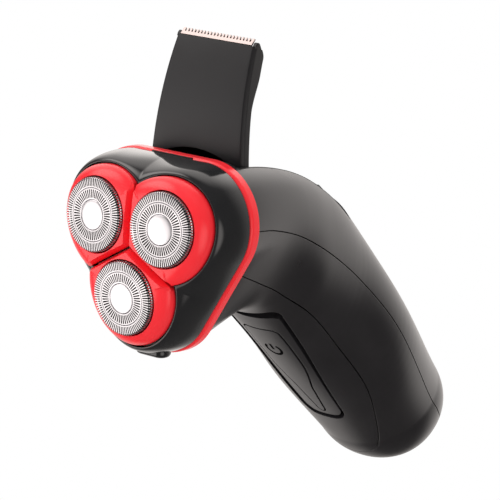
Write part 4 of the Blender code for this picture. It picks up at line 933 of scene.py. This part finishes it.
def bladeStand(lift):
    spot = tipFront + bladeOut * lift
    return Matrix(((1, 0, 0, 0), (0, bladeUp[0], bladeOut[0], spot[0]),
                   (0, bladeUp[1], bladeOut[1], spot[1]), (0, 0, 0, 1)))


fixedComb = comb(blade["half"], 0.25, blade["height"], blade["teeth"], blade["toothDepth"])
movingComb = comb(blade["half"] - 1, 0.65, blade["height"] - 0.15, 24, 0.3)
fixedBlade = newPiece("trimmer_comb_plate", plate(fixedComb, -blade["thickness"], 0), bladeStand(0))
finishPiece(fixedBlade, "trimmer", "groundSteel", ["trimmer_fixed_blade"], 30)
movingBlade = newPiece("trimmer_cutting_plate", plate(movingComb, -blade["thickness"], 0),
                       bladeStand(-blade["thickness"] - 0.15))
# painted shade: the cutting plate takes the darkened steel for lying under the comb plate
finishPiece(movingBlade, "trimmer_comb", "steelPaintedShade", ["trimmer_moving_blade"], 30)
print("trimmer made")

keptParts = {
    "etchedBlackAbs": ["trimmer_back", "trimmer_barrel", "charging_socket"],
    "polishedBlackAbs": ["trimmer_switch"],
    "darkNylon": ["cutter_frame", "gear_cover"],
    # painted shade: the inner cutters are drawn dark so that the slots above them read as shade
    "steelPaintedShade": ["inner_cutter_left", "inner_cutter_right", "inner_cutter_bottom"],
    "drawnSteel": ["trimmer_hinge_pin", "drive_spindle_left", "drive_spindle_right",
                   "drive_spindle_bottom", "cover_screw_top", "cover_screw_left", "cover_screw_right",
                   "motor_shaft", "power_switch"],
    "whiteAcetal": ["drive_gear_left", "drive_gear_right", "drive_gear_bottom", "trimmer_drive_arm"],
    "platedSteel": ["motor_can"],
    "turnedBrass": ["motor_pinion", "battery_contact_front", "battery_contact_rear"],
    "cellSleeve": ["battery"],
    "circuitEpoxy": ["circuit_board"],
    "greyNylon": ["inner_frame", "gearbox_base"],
}
for finishName, names in keptParts.items():
    for name in names:
        part = nodes[name]
        part.data.materials.clear()
        part.data.materials.append(finishes[finishName])
for name in ("trimmer_switch", "charging_socket", "trimmer_back"):
    roundEdges(nodes[name], 0.2)
print("kept parts finished")

# Windows are soft bright openings round a dim room, as gloss shows them: direction in the
# head's axes (across, up the shaving face, out of it), inner and outer half angle, brightness
room = {"floorHalf": 3.0, "floor": "#f2f1ef", "tint": "#fcf6f2", "dim": 0.12, "fill": 0.85,
        "windows": (((-0.65, -0.3, 0.7), 19, 31, 1.9), ((-0.65, 0.64, 0.42), 8, 25, 3.2),
                    ((0.87, -0.2, 0.35), 8, 32, 1.5), ((-0.75, -0.55, -0.35), 14, 36, 0.7),
                    ((-0.5, 0.7, -0.5), 18, 50, 1.3), ((-0.1, 0.1, -1), 22, 58, 1.2))}
world = bpy.data.worlds.new("pale_room")
bpy.context.scene.world = world
world.use_nodes = True
tree = world.node_tree
tree.nodes.clear()
direction = addNode(tree, "ShaderNodeTexCoord").outputs["Generated"]
strength = None
for towards, inner, outer, bright in room["windows"]:
    axis = (headTurn.to_3x3() @ Vector(towards)).normalized()
    near = addNode(tree, "ShaderNodeVectorMath", {"operation": "DOT_PRODUCT", 1: axis},
                   {0: direction}).outputs["Value"]
    glow = addNode(tree, "ShaderNodeMapRange",
                   {"interpolation_type": "SMOOTHSTEP", 1: cos(radians(outer)), 2: cos(radians(inner)),
                    3: 0, 4: bright}, {0: near}).outputs[0]
    strength = addNode(tree, "ShaderNodeMath", {"operation": "ADD", 1: room["dim"]},
                       {0: glow, **({1: strength} if strength else {})}).outputs[0]
paths = addNode(tree, "ShaderNodeLightPath").outputs
tint = linear(room["tint"])
tent = addNode(tree, "ShaderNodeBackground", {"Color": tint}, {"Strength": strength}).outputs[0]
soft = addNode(tree, "ShaderNodeBackground", {"Color": tint, "Strength": room["fill"]}).outputs[0]
white = addNode(tree, "ShaderNodeBackground", {"Color": (1, 1, 1, 1), "Strength": 1}).outputs[0]
lit = addNode(tree, "ShaderNodeMixShader", None, {0: paths["Is Glossy Ray"], 1: soft, 2: tent}).outputs[0]
mixed = addNode(tree, "ShaderNodeMixShader", None, {0: paths["Is Camera Ray"], 1: lit, 2: white}).outputs[0]
addNode(tree, "ShaderNodeOutputWorld", None, {"Surface": mixed})

half = room["floorHalf"] * 1000
floorSlab = [[(-half, -half, z), (half, -half, z), (half, half, z), (-half, half, z)] for z in (-10, -0.05)]
floor = newPiece("studio_floor", stitch(floorSlab))
floor.data.transform(headAxes.inverted())
floor.visible_glossy = False
paper = bpy.data.materials.new("white_paper_floor")
paper.use_nodes = True
tree = paper.node_tree
shader = tree.nodes["Principled BSDF"]
shader.inputs["Base Color"].default_value = linear(room["floor"])
shader.inputs["Roughness"].default_value = 0.8
lit = addNode(tree, "ShaderNodeEmission", {"Color": (1, 1, 1, 1), "Strength": 1}).outputs[0]
seen = addNode(tree, "ShaderNodeLightPath").outputs["Is Camera Ray"]
mixed = addNode(tree, "ShaderNodeMixShader", None, {0: seen, 1: shader.outputs[0], 2: lit}).outputs[0]
tree.links.new(mixed, tree.nodes["Material Output"].inputs["Surface"])
floor.data.materials.append(paper)


def softBox(name, towards, distance, width, height, power, colour="#ffffff"):
    light = bpy.data.lights.new(name, "AREA")
    light.shape = "RECTANGLE"
    light.size, light.size_y, light.energy = width, height, power
    light.color = linear(colour)[:3]
    lamp = bpy.data.objects.new(name, light)
    bpy.context.scene.collection.objects.link(lamp)
    away = (headTurn.to_3x3() @ Vector(towards)).normalized()
    lamp.location = headPlace + away * distance
    lamp.visible_glossy = False
    lamp.rotation_mode = "QUATERNION"
    lamp.rotation_quaternion = away.to_track_quat("Z", "Y")


# directions are in the head's axes: across, up the shaving face, out of it
softBox("key_box", (-0.5, 0.2, 0.85), 0.9, 0.8, 0.8, 3.0)
softBox("top_box", (0.1, 0.95, 0.25), 0.9, 0.9, 0.5, 1.5)
softBox("low_box", (-0.2, -0.9, 0.3), 0.8, 0.6, 0.5, 1.5, "#fff4ec")

camera = {"towards": (0.65, 0.205, 0.741), "up": (-0.176, 0.989, -0.116), "distance": 0.82, "lens": 208.4,
          "aimRight": 0.03507, "aimUp": -0.0007}
back = (headTurn.to_3x3() @ Vector(camera["towards"])).normalized()
upward = headTurn.to_3x3() @ Vector(camera["up"])
right = upward.cross(back).normalized()
upward = back.cross(right)
place = headPlace + back * camera["distance"]
aim = headPlace + right * camera["aimRight"] + upward * camera["aimUp"]
back = (place - aim).normalized()
right = upward.cross(back).normalized()
upward = back.cross(right)
lens = bpy.data.cameras.new("studio_camera")
lens.lens = camera["lens"]
lens.clip_start, lens.clip_end = 0.05, 20
viewer = bpy.data.objects.new("studio_camera", lens)
bpy.context.scene.collection.objects.link(viewer)
viewer.matrix_world = Matrix.Translation(place) @ Matrix((right, upward, back)).transposed().to_4x4()
bpy.context.scene.camera = viewer
bpy.context.scene.view_settings.view_transform = "Standard"

print("room, lights and camera made")
